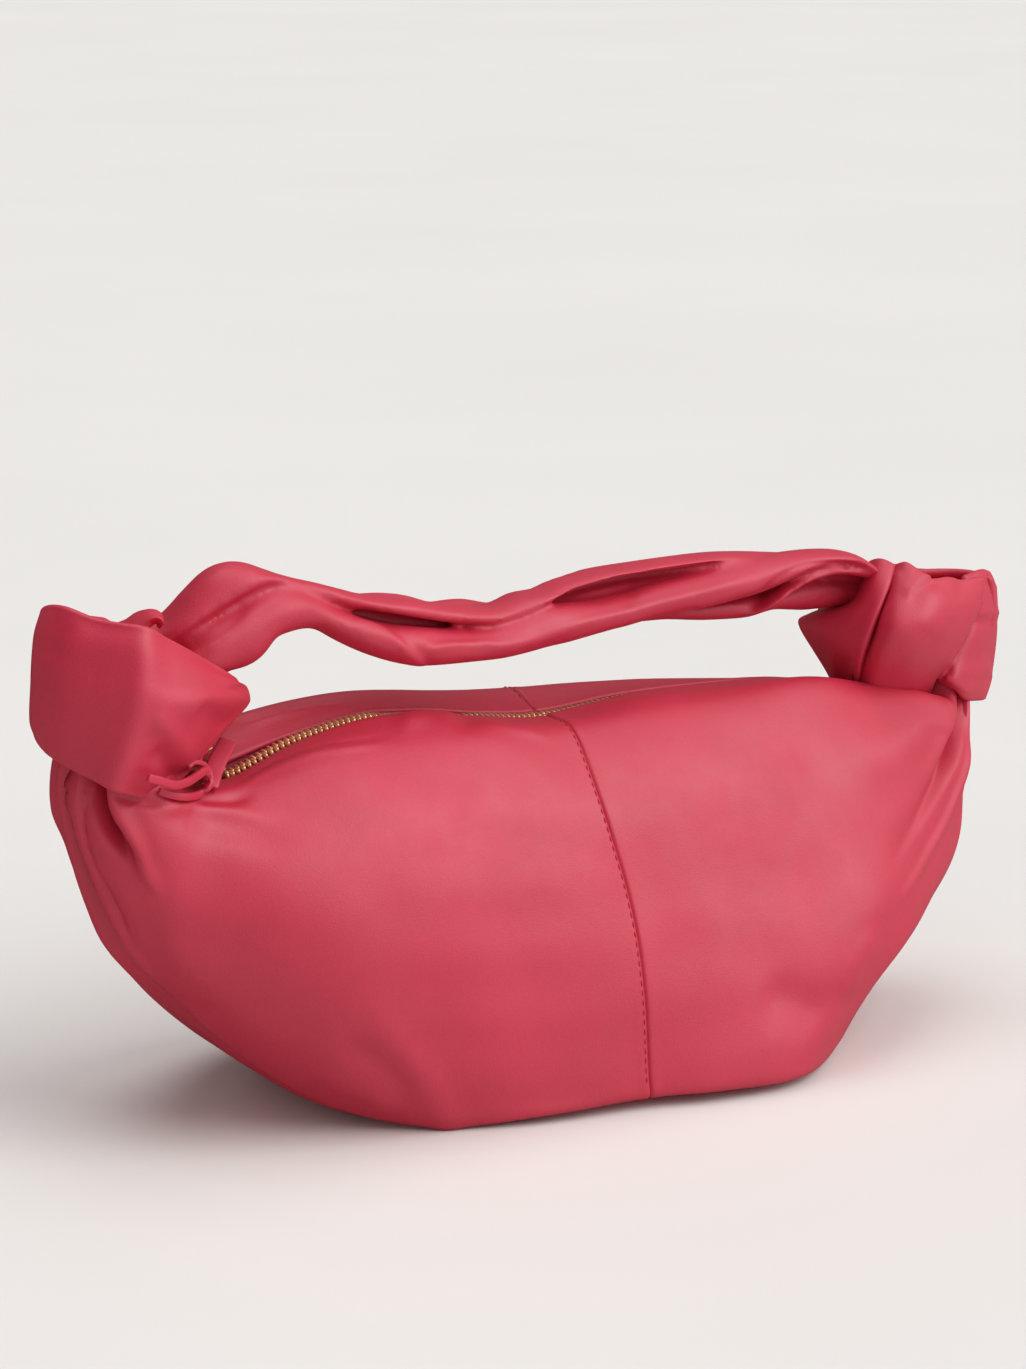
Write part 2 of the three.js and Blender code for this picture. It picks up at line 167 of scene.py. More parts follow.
def polyline_distance(q, line):
    """Signed distance of 2-D points q to a polyline, and where along it, 0 to 1. Positive on its right, y down."""
    line = np.asarray(line, float)
    seg = line[1:] - line[:-1]
    length = np.linalg.norm(seg, axis=1)
    total, run = length.sum(), np.concatenate([[0], np.cumsum(length)])
    best = np.full(len(q), 1e9)
    sign = np.ones(len(q))
    along = np.zeros(len(q))
    for k in range(len(seg)):
        r = q - line[k]
        t = np.clip((r @ seg[k]) / length[k] ** 2, 0, 1)
        e = r - t[:, None] * seg[k]
        d = np.linalg.norm(e, axis=1)
        m = d < best
        best[m] = d[m]
        sign[m] = np.sign(seg[k][0] * r[m, 1] - seg[k][1] * r[m, 0])
        along[m] = (run[k] + t[m] * length[k]) / total
    return best * np.where(sign == 0, 1, sign), along


def fine_line(line, n=24):
    line = np.asarray(line, float)
    return cr(line, np.linspace(0, len(line) - 1, n))


def strokes(points, normals, rows, facing=True):
    """Moves points along their normals by soft folds drawn as lines in the picture plane of the main view.
    A row is (kind, line, width in pixels, height in mm, fade in, fade out)."""
    q = pix(points)
    view = EYE - points
    view /= np.linalg.norm(view, axis=1, keepdims=True)
    f = smooth(-0.05, 0.22, (view * normals).sum(1)) if facing else np.ones(len(points))
    move = np.zeros(len(points))
    for kind, line, width, height, fin, fout in rows:
        ln = fine_line(line)
        lo, hi = ln.min(0) - 5 * width, ln.max(0) + 5 * width
        m = np.all((q > lo) & (q < hi), 1)
        if not m.any():
            continue
        d, t = polyline_distance(q[m], ln)
        fade = np.ones_like(t)
        if fin > 0:
            fade *= smooth(0, fin, t)
        if fout > 0:
            fade *= 1 - smooth(1 - fout, 1, t)
        u = d / width
        if kind == "g":  # a round ridge or valley
            s = np.exp(-(u**2))
        elif kind == "v":  # a sharp valley or crest
            s = np.exp(-np.abs(u) * 1.6)
        else:  # a step: high on the line's right, low on its left
            s = np.tanh(2.2 * u) * np.exp(-0.5 * np.abs(u) ** 1.5)
        move[m] += height * s * fade
    return points + normals * (move * f)[:, None]


def waves(p, scale, seed):
    """A smooth irregular field from a few fixed waves, about -1 to 1."""
    r = np.random.RandomState(seed)
    out = np.zeros(len(p))
    for _ in range(7):
        k = r.normal(size=3)
        k = k / np.linalg.norm(k) * (0.6 + r.rand()) * 2 * math.pi / scale
        out += np.sin(p @ k + r.rand() * 6.283)
    return out / 3.2


# ------------------------------------------------------------------------------------------------ materials
def srgb(r, g, b):
    f = lambda c: (c / 255) / 12.92 if c <= 10.3 else (((c / 255) + 0.055) / 1.055) ** 2.4
    return (f(r), f(g), f(b), 1.0)


class Nodes:
    def __init__(self, name):
        self.mat = bpy.data.materials.new(name)
        self.mat.use_nodes = True
        self.t = self.mat.node_tree
        self.t.nodes.clear()
        self.out = self.n("ShaderNodeOutputMaterial")
        self.bsdf = self.n("ShaderNodeBsdfPrincipled")
        self.t.links.new(self.bsdf.outputs[0], self.out.inputs[0])

    def n(self, kind, **props):
        node = self.t.nodes.new(kind)
        for k, v in props.items():
            setattr(node, k, v)
        return node

    def link(self, a, b):
        self.t.links.new(a, b)

    def noise(self, vec, scale, detail=3.0, rough=0.55, distortion=0.0):
        n = self.n("ShaderNodeTexNoise")
        n.inputs["Scale"].default_value = scale
        n.inputs["Detail"].default_value = detail
        n.inputs["Roughness"].default_value = rough
        n.inputs["Distortion"].default_value = distortion
        self.link(vec, n.inputs["Vector"])
        return n.outputs["Fac"]

    def ramp(self, fac, stops):
        r = self.n("ShaderNodeValToRGB")
        e = r.color_ramp.elements
        while len(e) < len(stops):
            e.new(0.5)
        for k, (pos, col) in enumerate(stops):
            e[k].position = pos
            e[k].color = col
        self.link(fac, r.inputs["Fac"])
        return r.outputs["Color"]

    def remap(self, fac, a, b, c, d):
        m = self.n("ShaderNodeMapRange")
        for k, v in zip(("From Min", "From Max", "To Min", "To Max"), (a, b, c, d)):
            m.inputs[k].default_value = v
        self.link(fac, m.inputs["Value"])
        return m.outputs["Result"]

    def math(self, op, a, b):
        m = self.n("ShaderNodeMath", operation=op)
        for k, v in enumerate((a, b)):
            if isinstance(v, (int, float)):
                m.inputs[k].default_value = v
            else:
                self.link(v, m.inputs[k])
        return m.outputs[0]

    def bump(self, height, strength, distance, normal=None):
        b = self.n("ShaderNodeBump")
        b.inputs["Strength"].default_value = strength
        b.inputs["Distance"].default_value = distance
        self.link(height, b.inputs["Height"])
        if normal is not None:
            self.link(normal, b.inputs["Normal"])
        return b.outputs["Normal"]


def leather(name, light, dark, rough=(0.50, 0.60), grain=1.0):
    """Smooth drum-dyed leather: fine pebbled grain, faint hair-cell pits, cloudy dye, a faint even sheen."""
    m = Nodes(name)
    pos = m.n("ShaderNodeTexCoord").outputs["Object"]
    cloud = m.noise(pos, 28.0, 4.0, 0.6)
    speck = m.noise(pos, 900.0, 2.0, 0.6)
    mix = m.math("ADD", m.math("MULTIPLY", cloud, 0.75), m.math("MULTIPLY", speck, 0.25))
    m.link(m.ramp(mix, [(0.3, dark), (0.7, light)]), m.bsdf.inputs["Base Color"])
    cell = m.n("ShaderNodeTexVoronoi", feature="DISTANCE_TO_EDGE")
    cell.inputs["Scale"].default_value = 1150.0
    cell.inputs["Randomness"].default_value = 1.0
    warp = m.noise(pos, 260.0, 2.0)
    add = m.n("ShaderNodeVectorMath", operation="MULTIPLY_ADD")
    m.link(pos, add.inputs[2])
    comb = m.n("ShaderNodeCombineXYZ")
    for k in range(3):
        m.link(warp, comb.inputs[k])
    m.link(comb.outputs[0], add.inputs[0])
    add.inputs[1].default_value = (0.0009, 0.0009, 0.0009)
    m.link(add.outputs[0], cell.inputs["Vector"])
    pebble = m.remap(cell.outputs["Distance"], 0.0, 0.35, 0.0, 1.0)
    crease = m.noise(pos, 420.0, 5.0, 0.65, 0.4)
    soft = m.noise(pos, 95.0, 3.0, 0.5)
    height = m.math(
        "ADD",
        m.math("MULTIPLY", pebble, 0.35),
        m.math("ADD", m.math("MULTIPLY", crease, 0.65), m.math("MULTIPLY", soft, 1.1)),
    )
    m.link(m.bump(height, 0.22 * grain, 0.00035), m.bsdf.inputs["Normal"])
    m.link(m.remap(m.noise(pos, 60.0, 3.0), 0.3, 0.7, *rough), m.bsdf.inputs["Roughness"])
    m.bsdf.inputs["Specular IOR Level"].default_value = 0.85
    m.bsdf.inputs["Specular Tint"].default_value = (0.96, 0.93, 1.0, 1)
    m.bsdf.inputs["Sheen Weight"].default_value = 0.01
    m.bsdf.inputs["Sheen Roughness"].default_value = 0.4
    m.bsdf.inputs["Sheen Tint"].default_value = (1.0, 0.62, 0.68, 1)
    return m.mat


def metal(name, light, dark):
    m = Nodes(name)
    pos = m.n("ShaderNodeTexCoord").outputs["Object"]
    n = m.noise(pos, 700.0, 3.0)
    m.link(m.ramp(n, [(0.3, dark), (0.7, light)]), m.bsdf.inputs["Base Color"])
    m.bsdf.inputs["Metallic"].default_value = 0.75
    m.link(m.remap(n, 0.2, 0.8, 0.28, 0.42), m.bsdf.inputs["Roughness"])
    m.link(m.bump(m.noise(pos, 2200.0, 2.0), 0.08, 0.0001), m.bsdf.inputs["Normal"])
    return m.mat


def woven(name, light, dark, pitch):
    """Plain weave: two crossed sets of ribs, with a little unevenness."""
    m = Nodes(name)
    pos = m.n("ShaderNodeTexCoord").outputs["Object"]
    sep = m.n("ShaderNodeSeparateXYZ")
    m.link(pos, sep.inputs[0])
    k = 2 * math.pi / pitch
    a = m.math("SINE", m.math("MULTIPLY", sep.outputs[0], k), 0)
    b = m.math("SINE", m.math("MULTIPLY", m.math("ADD", sep.outputs[1], sep.outputs[2]), k), 0)
    w = m.math("MULTIPLY", a, b)
    n = m.noise(pos, 350.0, 3.0)
    f = m.math("ADD", m.math("MULTIPLY", w, 0.28), n)
    m.link(m.ramp(f, [(0.2, dark), (0.8, light)]), m.bsdf.inputs["Base Color"])
    m.bsdf.inputs["Roughness"].default_value = 0.86
    m.bsdf.inputs["Sheen Weight"].default_value = 0.2
    m.link(m.bump(f, 0.5, 0.0002), m.bsdf.inputs["Normal"])
    return m.mat


LEATHER = leather("leather_raspberry", srgb(198, 32, 63), srgb(186, 25, 53))
LEATHER_EDGE = leather("leather_cut_edge", srgb(176, 34, 55), srgb(150, 24, 42), (0.5, 0.65), 1.4)
BRASS = metal("pale_gold", srgb(250, 208, 164), srgb(234, 174, 128))
TAPE = woven("zip_tape_weave", srgb(188, 52, 74), srgb(150, 34, 54), 0.0007)
LINING = woven("lining_weave", srgb(150, 40, 58), srgb(118, 26, 42), 0.0008)
THREAD = woven("thread_twist", srgb(196, 50, 74), srgb(160, 32, 54), 0.0005)

# ------------------------------------------------------------------------------------------------ the pouch
# Rows of the pouch: from the right neck over the middle to the left neck. Eight points each, from the zip edge
# down to the middle of the bottom: x, distance from the middle plane, height, in mm.
MID = [
    # x, front (distance, height), back (distance, height)
    (117, [(5, 112), (17, 113.6), (31, 98), (42, 79), (47, 58), (45, 37), (34, 22), (0, 16)],
     [(5, 112), (16, 106), (30, 96), (41, 79), (46, 59), (43, 38), (32, 23), (0, 16)]),
    (91, [(5, 113), (20, 114.6), (37, 96), (50, 73), (58, 48), (51.5, 21), (42, 5.5), (0, 2)],
     [(5, 113), (18, 107.5), (36, 96), (49, 75), (56, 49), (55, 23), (46, 6.5), (0, 2)]),
    (60, [(5, 113), (22, 111.5), (40, 94), (53, 67), (61.5, 39), (65.5, 13), (63.5, 3.4), (0, 0)],
     [(5, 113), (19, 110), (39, 97), (53, 70), (60, 41), (60, 15), (56, 2.4), (0, 0)]),
    (30, [(5, 113), (22, 110.6), (41, 93), (54, 64), (62.5, 35), (67.5, 13), (67.0, 4.0), (0, 0)],
     [(5, 113), (20, 113.2), (40, 98), (54, 69), (61, 38), (62, 13), (59.5, 2.2), (0, 0)]),
    (0, [(5, 113), (22, 111.2), (41, 92), (54, 63), (62.5, 34), (65.5, 12.5), (64.5, 4.0), (0, 0)],
     [(5, 113), (20, 116.5), (40, 100), (54, 69), (61, 37), (62, 13), (59.5, 2.2), (0, 0)]),
    (-30, [(5, 113), (22, 109.2), (41, 92.5), (54, 64), (62, 35), (64.5, 12), (63, 3.0), (0, 0)],
     [(5, 113), (20, 115.9), (40, 100), (54, 69), (61, 38), (62, 13), (59.5, 2.2), (0, 0)]),
    (-60, [(5, 113), (21, 105), (40, 92), (53, 67), (59.5, 39), (59.5, 14), (55, 1.8), (0, 0)],
     [(5, 113), (19, 115.8), (39, 99), (53, 70), (59.5, 41), (59.5, 15), (55, 2.4), (0, 0)]),
    (-88, [(5, 113), (20, 108.4), (37, 93.5), (49, 72), (55, 48), (53.5, 24), (43, 9), (0, 5.5)],
     [(5, 113), (18, 118.5), (36, 99), (48, 74), (54, 49), (52, 25), (42, 11), (0, 6)]),
    (-111, [(5, 112), (17, 110.6), (31, 97), (41, 79), (45, 59), (42, 38), (31, 25), (0, 20.5)],
     [(5, 112), (16, 115), (30, 98), (40, 79), (44, 60), (41, 40), (30, 26), (0, 20.5)]),
]
LEFT_END = [
    [(-124, 5, 107), (-128, 16, 106), (-132, 25, 98), (-135, 30, 86), (-137, 31, 73), (-138, 27, 60), (-138.5, 18, 52), (-139, 0, 48)],
    [(-131, 7, 107.5), (-135, 18, 107), (-141, 25, 101), (-146, 27, 92), (-149.5, 26, 82), (-152, 21, 75), (-153.5, 13, 70), (-154, 0, 68)],
    [(-133, 9, 111), (-138, 17, 112), (-144, 22, 110), (-150.5, 23.5, 106), (-156, 20, 102), (-160, 15, 99), (-162.5, 8, 97), (-163.5, 0, 96)],
    [(-134, 8, 120), (-139, 13, 121), (-144.5, 16, 121), (-150, 17, 120), (-155, 17, 119), (-159, 12.5, 118), (-162, 7, 117.5), (-163, 0, 117)],
    [(-139, 4, 131), (-142, 9, 131), (-145, 11, 131), (-149, 11, 131), (-152, 9, 131), (-154, 7, 130), (-155, 4, 130), (-156, 0, 130)],
]
RIGHT_END = [
    [(134, 5, 105.5), (138, 17, 105.4), (142, 25, 98), (145, 31, 86), (147, 33, 70), (148, 30, 54), (148, 21, 43), (148, 0, 38)],
    [(144, 6, 102), (149, 16, 102.6), (154, 21, 97.5), (158, 24, 89), (161, 24, 79), (162.5, 20, 69), (163, 13, 62), (163, 0, 58)],
    [(149, 6, 101), (154, 14, 101.6), (160, 15.5, 99), (164, 15, 95), (166.5, 13.5, 90), (168, 10, 86), (168.5, 6, 82), (168.5, 0, 80)],
    [(149, 5, 110), (153, 11, 110.5), (158, 12, 110), (161.5, 11, 109.5), (164, 10, 109), (165.5, 7, 108), (166.5, 4, 107.5), (166.5, 0, 107)],
    [(153, 3, 121), (155, 6, 121), (157, 7, 121), (159, 7, 121), (160.5, 6, 121), (161, 4, 120), (161.5, 2, 120), (162, 0, 120)],
]
SHARE = np.array([1, 1, 0.75, 0.45, 0.15, 0, 0, 0])  # of the mouth's slope
LIFT = {117: -7.5, 91: -3.2, 60: -0.3, 30: 0.8, 0: -0.8, -30: 3.6, -60: 8.2, -88: 5.2, -111: -1.0}  # of the mouth's edge
LIFT_SHARE = np.array([1, 1, 0.4, 0.12, 0, 0, 0, 0])
TWIST = math.radians(-7.0)  # the base has turned a little under the mouth


def build_net(back):
    rows = []
    for end in (RIGHT_END[::-1], None, LEFT_END):
        if end is None:
            for x, f, b in MID:
                p = np.array([(x, y, z) for y, z in (b if back else f)], float)
                p[:, 2] += 0.03 * x * SHARE + LIFT[x] * LIFT_SHARE
                rows.append(p)
        else:
            rows += [np.array(r, float) for r in end]
    net = np.array(rows)
    x = net[:, :, 0].copy()
    if back:  # the back shoulder runs on behind the left knot
        net[:, :2, 2] += (7.0 * np.exp(-(((x + 113) / 11) ** 2)))[:, :2] * np.array([0.35, 1.0])
        net[:, 0, 2] -= 1.0 * smooth(0, 40, x[:, 0])
        net[:, 1, 2] -= 1.0 * np.exp(-(((x[:, 1] - 34) / 16) ** 2))
    else:
        net[:, 0, 2] += 0.7 * smooth(0, 30, x[:, 0]) * (1 - smooth(105, 125, x[:, 0]))
        net[:, :, 1] *= -1
    a = TWIST * (1 - smooth(4, 85, net[:, :, 2]))
    c, s = np.cos(a), np.sin(a)
    x, y = net[:, :, 0].copy(), net[:, :, 1].copy()
    k = 1 - smooth(110, 150, np.abs(x))
    net[:, :, 0] = x + (x * c - y * s - x) * k
    net[:, :, 1] = y + (x * s + y * c - y) * k
    # the right flank is drawn in, the left one sags
    x, z = net[:, :, 0], net[:, :, 2]
    drawn = np.interp(z, [0, 8, 20, 32, 45, 58, 72, 88, 105, 118], [7, 16, 17.2, 10.6, 4.5, 8.0, 12.0, 11.6, 4, 0])
    even = np.interp(z, [0, 10, 22, 36, 50, 64, 78, 92, 105, 118], [7, 12, 13, 11.5, 10, 9.5, 9.5, 8.5, 4, 0])
    net[:, :, 0] -= smooth(60, 112, x) * (drawn + (even - drawn) * smooth(-8, 22, net[:, :, 1]))
    sag = smooth(-50, -95, x) * np.interp(z, [0, 8, 25, 45, 62, 80, 90], [0, 0.8, 1.0, 3.0, 3.4, 0.8, 0])
    net[:, :, 0] -= 0.6 * sag
    net[:, :, 2] -= 0.7 * sag
    net[:, :, 0] += smooth(-112, -135, x) * np.interp(z, [30, 40, 50, 60, 70, 80, 95, 105], [0, 0.2, 0.2, 0.4, 2.4, 3.4, 1.5, 0])
    net[:, :, 0] -= smooth(-80, -105, x) * np.interp(z, [8, 16, 24, 34, 44, 54], [0, 1.6, 2.2, 2.4, 1.8, 0])
    net[:, :, 0] -= smooth(-150, -160, x) * np.interp(z, [92, 100, 115, 125], [0, 2.5, 2.5, 0])
    net[:, :, 0] += smooth(142, 156, x) * np.interp(z, [80, 90, 97, 104, 110, 116], [0, 0.3, 2.4, 4.0, 2.5, 0])
    # the skin turns under at the base's edge and meets the ground a little further in; at the ends it runs round evenly
    edge, mid = net[:, 6], net[:, 7]
    end = smooth(95, 140, np.abs(edge[:, :1]))
    under = []
    for inset, height, even in ((0.10, 0.85, 1 / 3), (0.24, 0.08, 2 / 3)):
        q = edge + (mid - edge) * (inset + (even - inset) * end)
        q[:, 2:] = mid[:, 2:] + (edge[:, 2:] - mid[:, 2:]) * (height + (1 - even - height) * end)
        under.append(q[:, None])
    return np.concatenate([net[:, :7]] + under + [net[:, 7:]], axis=1)


NET = {False: build_net(False), True: build_net(True)}
N_ROWS = len(NET[False])
MIDDLE = 9  # the row at x = 0
NET[False][MIDDLE, :, 0] += np.array([-1.7, -1.8, -4.2, -0.5, 3.4, 5.6, 6.8, 6.8, 5.0, 0])  # the front's seam leans a little
S_STEPS = np.concatenate(
    [np.linspace(k, k + 1, n, endpoint=False) for k, n in enumerate([8, 14, 14, 14, 14, 16, 18, 18, 18, 18, 18, 18, 18, 16, 16, 16, 16, 8])] + [[N_ROWS - 1]]
)
S_STEPS = np.sort(np.concatenate([S_STEPS, MIDDLE + np.array([-0.034, -0.018, -0.008, 0.008, 0.018, 0.034])]))
V_STEPS = np.concatenate([np.linspace(k, k + 1, n, endpoint=False) for k, n in enumerate([16, 30, 32, 32, 22, 12])] + [[6.0, 6.12, 6.24, 6.36, 6.48, 6.6, 6.7]])


def surf(s, v, back):
    """Points of the pouch before folds, on the grid s by v."""
    rows = cr(NET[back], s)  # (ns, 10, 3)
    return cr(np.swapaxes(rows, 0, 1), v).swapaxes(0, 1)


# gathers into the two necks. w runs once round the pouch: 0 at the front's zip edge, 9 in the middle of the bottom,
# 18 at the back's zip edge. Each row: ((row, w) along the fold, widths before and after it in mm, height in mm, rows
# over which it fades in)
GATHERS = [
    # left neck, from the front round to the back
    ([(16.6, 4.34), (16.3, 4.2), (15.97, 3.95), (15.7, 3.96), (15.4, 4.15)], 3.4, 2.2, 2.4, 14.9, 15.7),
    ([(16.7, 5.03), (16.4, 4.96), (16.07, 4.72), (15.85, 4.48), (15.6, 4.29), (15.2, 4.2)], 2.6, 2.8, -8.0, 15.3, 16.05),
    ([(16.8, 5.75), (16.47, 5.8), (16.17, 5.85), (15.9, 5.9), (15, 6.0)], 2.0, 2.0, 1.7, 15.0, 15.9),
    ([(17, 9.0), (16.5, 9.1), (16, 9.2), (15.5, 9.3), (15, 9.3), (14.5, 9.2)], 2.6, 2.4, 2.6, 14.0, 15.0),
    ([(17, 10.4), (16.5, 10.4), (16, 10.4), (15.6, 10.5)], 1.8, 1.6, -6.0, 15.4, 15.85),
    ([(17, 12.6), (14, 12.6)], 3.0, 4.0, 1.5, 15.6, 16.1),
    ([(17, 14.4), (15, 14.5), (13, 14.8)], 2.8, 2.8, -4.4, 13.8, 15.4),
    ([(17, 15.2), (15, 15.3), (13, 15.5)], 2.6, 2.6, 1.2, 14.0, 15.4),
    ([(17, 16.1), (15, 16.1), (13, 16.2)], 2.6, 2.6, -3.2, 14.2, 15.6),
    # right neck
    ([(1.9, 2.4), (2.88, 2.8), (3.46, 3.15), (3.99, 3.4), (4.36, 3.5), (4.72, 3.6), (5.1, 3.65), (6, 3.7)], 4.2, 2.4, -6.5, 5.6, 3.0),
    ([(1.9, 3.2), (2.5, 3.6), (3.38, 3.9), (4.04, 4.1), (4.46, 4.18), (4.84, 4.22), (5.3, 4.2), (6, 4.15)], 2.0, 2.4, 1.6, 5.8, 4.2),
    ([(1.5, 4.4), (3.4, 4.7), (5, 4.8)], 3.0, 3.0, -1.6, 4.6, 3.2),
    ([(1, 7.2), (5, 7.2)], 2.6, 2.6, -2.6, 3.8, 2.4),
    ([(1, 9.0), (5, 9.0)], 3.2, 3.2, 1.0, 3.8, 2.4),
    ([(1, 11.0), (5, 11.0)], 2.6, 2.6, -2.8, 3.8, 2.4),
    ([(1, 13.4), (5, 13.6)], 2.8, 2.8, -4.0, 5.0, 3.2),
    ([(1, 14.4), (5, 14.5)], 2.8, 2.8, 1.2, 4.8, 3.2),
    ([(1, 15.5), (5, 15.6)], 2.8, 2.8, -3.2, 4.8, 3.2),
]
W_RING = np.concatenate([np.linspace(0, 9, 181), 18 - np.linspace(9, 0, 181)[1:]])
RING = np.concatenate([surf(S_STEPS, W_RING[:181], False), surf(S_STEPS, 18 - W_RING[181:], True)], axis=1)
ARC = np.concatenate([np.zeros((len(S_STEPS), 1)), np.cumsum(np.linalg.norm(np.diff(RING, axis=1), axis=2), axis=1)], axis=1)


LIP = smooth(13.8, 14.7, S_STEPS) * (1 - smooth(16.5, 17.0, S_STEPS))  # the front's lower edge laps over the left end's fold


def gathers(w, end_fold=False):
    """Height of the gathers on every row at those places round the pouch, on the skin or on the fold under its edge."""
    out = np.zeros((len(S_STEPS), len(w)))
    at = np.array([np.interp(w, W_RING, a) for a in ARC])
    for line, before, after, height, off, full in GATHERS:
        line = np.array(sorted(line))
        centre = np.interp(S_STEPS, line[:, 0], line[:, 1])
        mid = np.array([np.interp(c, W_RING, a) for c, a in zip(centre, ARC)])
        d = at - mid[:, None]
        out += height * smooth(off, full, S_STEPS)[:, None] * np.exp(-((d / np.where(d < 0, before, after)) ** 2))
    front = at - np.array([np.interp(6.6, W_RING, a) for a in ARC])[:, None]
    back = np.array([np.interp(11.4, W_RING, a) for a in ARC])[:, None] - at
    if end_fold:
        span = np.array([np.interp(9.0, W_RING, a) - np.interp(6.6, W_RING, a) for a in ARC])[:, None]
        wide = np.clip(0.55 * span, 2.0, 5.2)
        out -= LIP[:, None] * (2.0 * wide * np.exp(-((front / wide) ** 2)) + 1.5 * np.exp(-((back / 2.5) ** 2)))
    else:
        out += LIP[:, None] * 1.9 * np.exp(-((front / 2.6) ** 2))
    return out


# folds that show in the main view, as lines over the picture
FRONT_FOLDS = [
    # body against the left knot
    ("g", [(120, 798), (140, 801), (170, 803)], 6, -1.6, 0, 0.5),
    # long pleat down the left flank
    ("v", [(88, 790), (81, 812), (83, 836), (92, 866), (111, 900), (127, 935), (140, 966)], 5, -1.9, 0.0, 0.35),
    ("g", [(101, 800), (96, 828), (105, 862), (124, 897), (140, 930), (152, 956)], 8, 0.9, 0.1, 0.4),
    # folds out from the pull
    ("g", [(150, 808), (200, 808), (240, 813), (290, 824)], 8, 1.4, 0.2, 0.6),
    ("g", [(190, 826), (250, 834), (310, 852)], 14, -1.0, 0.2, 0.6),
    ("g", [(190, 799), (225, 800), (262, 792)], 7, -1.3, 0.2, 0.4),
    # edge of the facing along the front of the zip
    ("g", [(232, 790), (275, 768), (316, 753), (350, 748), (400, 742)], 4, 0.7, 0.2, 0.3),
    ("v", [(236, 783), (275, 761), (316, 746), (350, 741), (400, 735)], 3, -0.7, 0.2, 0.3),
    ("g", [(240, 727), (265, 718), (295, 711), (330, 706), (370, 706)], 4, 0.7, 0.2, 0.3),
    # swell that hides a stretch of the zip
    ("g", [(390, 724), (425, 718), (465, 722)], 10, 1.6, 0.3, 0.3),
    # soft folds under the middle of the mouth
    ("g", [(470, 722), (520, 730), (560, 742)], 5, 0.7, 0.2, 0.4),
    ("g", [(540, 716), (590, 706), (650, 697), (710, 690)], 4, 0.6, 0.1, 0.3),
    # soft swells beside the right neck
    ("g", [(938, 706), (905, 740), (870, 775), (835, 800)], 22, 1.0, 0.2, 0.6),
    ("g", [(944, 724), (934, 747), (918, 777)], 14, -1.0, 0.2, 0.5),
    # dents low on the right
    ("g", [(758, 990), (795, 1000), (832, 1018)], 20, -1.3, 0.3, 0.3),
    ("g", [(755, 1034), (790, 1047), (820, 1050)], 18, 0.35, 0.3, 0.3),
    ("g", [(880, 925), (856, 966), (842, 1004)], 12, 1.2, 0.3, 0.3),
    # low folds beside the base's left corner
    ("g", [(330, 1040), (380, 1066), (420, 1104)], 16, -1.0, 0.3, 0.3),
    ("g", [(300, 1070), (350, 1090), (400, 1110)], 10, 0.7, 0.3, 0.3),
    ("g", [(446, 1124), (424, 1084), (392, 1040), (356, 1000)], 18, 1.1, 0.0, 0.5),
]


def pouch_grid(s, v, back):
    g = surf(s, v, back)
    n = grid_normals(g)
    flat = g.reshape(-1, 3)
    nn = n.reshape(-1, 3)
    mid = np.array([0.0, 0.0, 60.0])
    if ((flat - mid) * nn).sum() < 0:
        nn = -nn
    S, V = np.meshgrid(s, v, indexing="ij")
    S, V = S.reshape(-1), V.reshape(-1)
    flat = flat + nn * gathers(18 - v if back else v).reshape(-1)[:, None]
    # slack in the skin
    amp = smooth(0.4, 1.5, V) * (1 - smooth(5.2, 5.9, V))
    flat = flat + nn * (0.55 * amp * waves(flat, 62.0, 3) + 0.22 * amp * waves(flat, 27.0, 5))[:, None]
    # the seam: a tight groove between two soft swells
    x = (S - MIDDLE) * 30.0
    flat = flat + nn * (0.16 * np.exp(-(((np.abs(x) - 1.9) / 1.2) ** 2)) - 0.6 * np.exp(-((x / 0.36) ** 2)))[:, None]
    # pull the folds across in the main view
    flat = strokes(flat, nn, FRONT_FOLDS)
    flat[:, 2] = np.maximum(flat[:, 2], 0.25)
    g = flat.reshape(g.shape)
    n = grid_normals(g)
    if ((g - mid) * n).sum() < 0:
        n = -n
    return g, n


def shell(name, g, n, thick, mat, hem):
    """A closed skin from an outer grid: rounded along its first column, its last one turned in by hem."""
    nu, nv = g.shape[:2]
    inner = g - n * thick
    inner[:, -1] = g[:, -1] - n[:, -14] * hem[:, None]
    t = g[:, 0] - g[:, 1]
    t /= np.linalg.norm(t, axis=-1, keepdims=True)
    roll = [g[:, 0] - n[:, 0] * thick * 0.5 + t * thick * 0.5]
    roll_a = g[:, 0] - n[:, 0] * thick * 0.15 + t * thick * 0.36
    roll_b = g[:, 0] - n[:, 0] * thick * 0.85 + t * thick * 0.36
    # columns run inner bottom -> inner top -> roll -> outer top -> outer bottom, one closed strip
    strip = np.concatenate(
        [inner[:, ::-1], roll_b[:, None], roll[0][:, None], roll_a[:, None], g], axis=1
    )
    m = strip.shape[1]
    verts = strip.reshape(-1, 3)
    f = quads(nu, m)
    last = np.stack([np.arange(nu - 1) * m + m - 1, np.arange(1, nu) * m + m - 1, np.arange(1, nu) * m, np.arange(nu - 1) * m], -1)
    f = np.concatenate([f, last])
    # which way is out
    c = verts[f].mean(1)
    nn = np.cross(verts[f[:, 1]] - verts[f[:, 0]], verts[f[:, 2]] - verts[f[:, 0]])
    outer = np.arange(len(f))
    k = (nu // 2) * (m - 1) + (m - nv // 2)
    ref = n[nu // 2, nv // 2]
    if (nn[min(k, len(nn) - 1)] * ref).sum() < 0:
        f = f[:, ::-1]
    return make(name, verts, f, mat)


def bend(ob):
    """Bakes a piece's placement into its mesh; it is not attached to any body and does not bend."""
    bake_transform(ob)


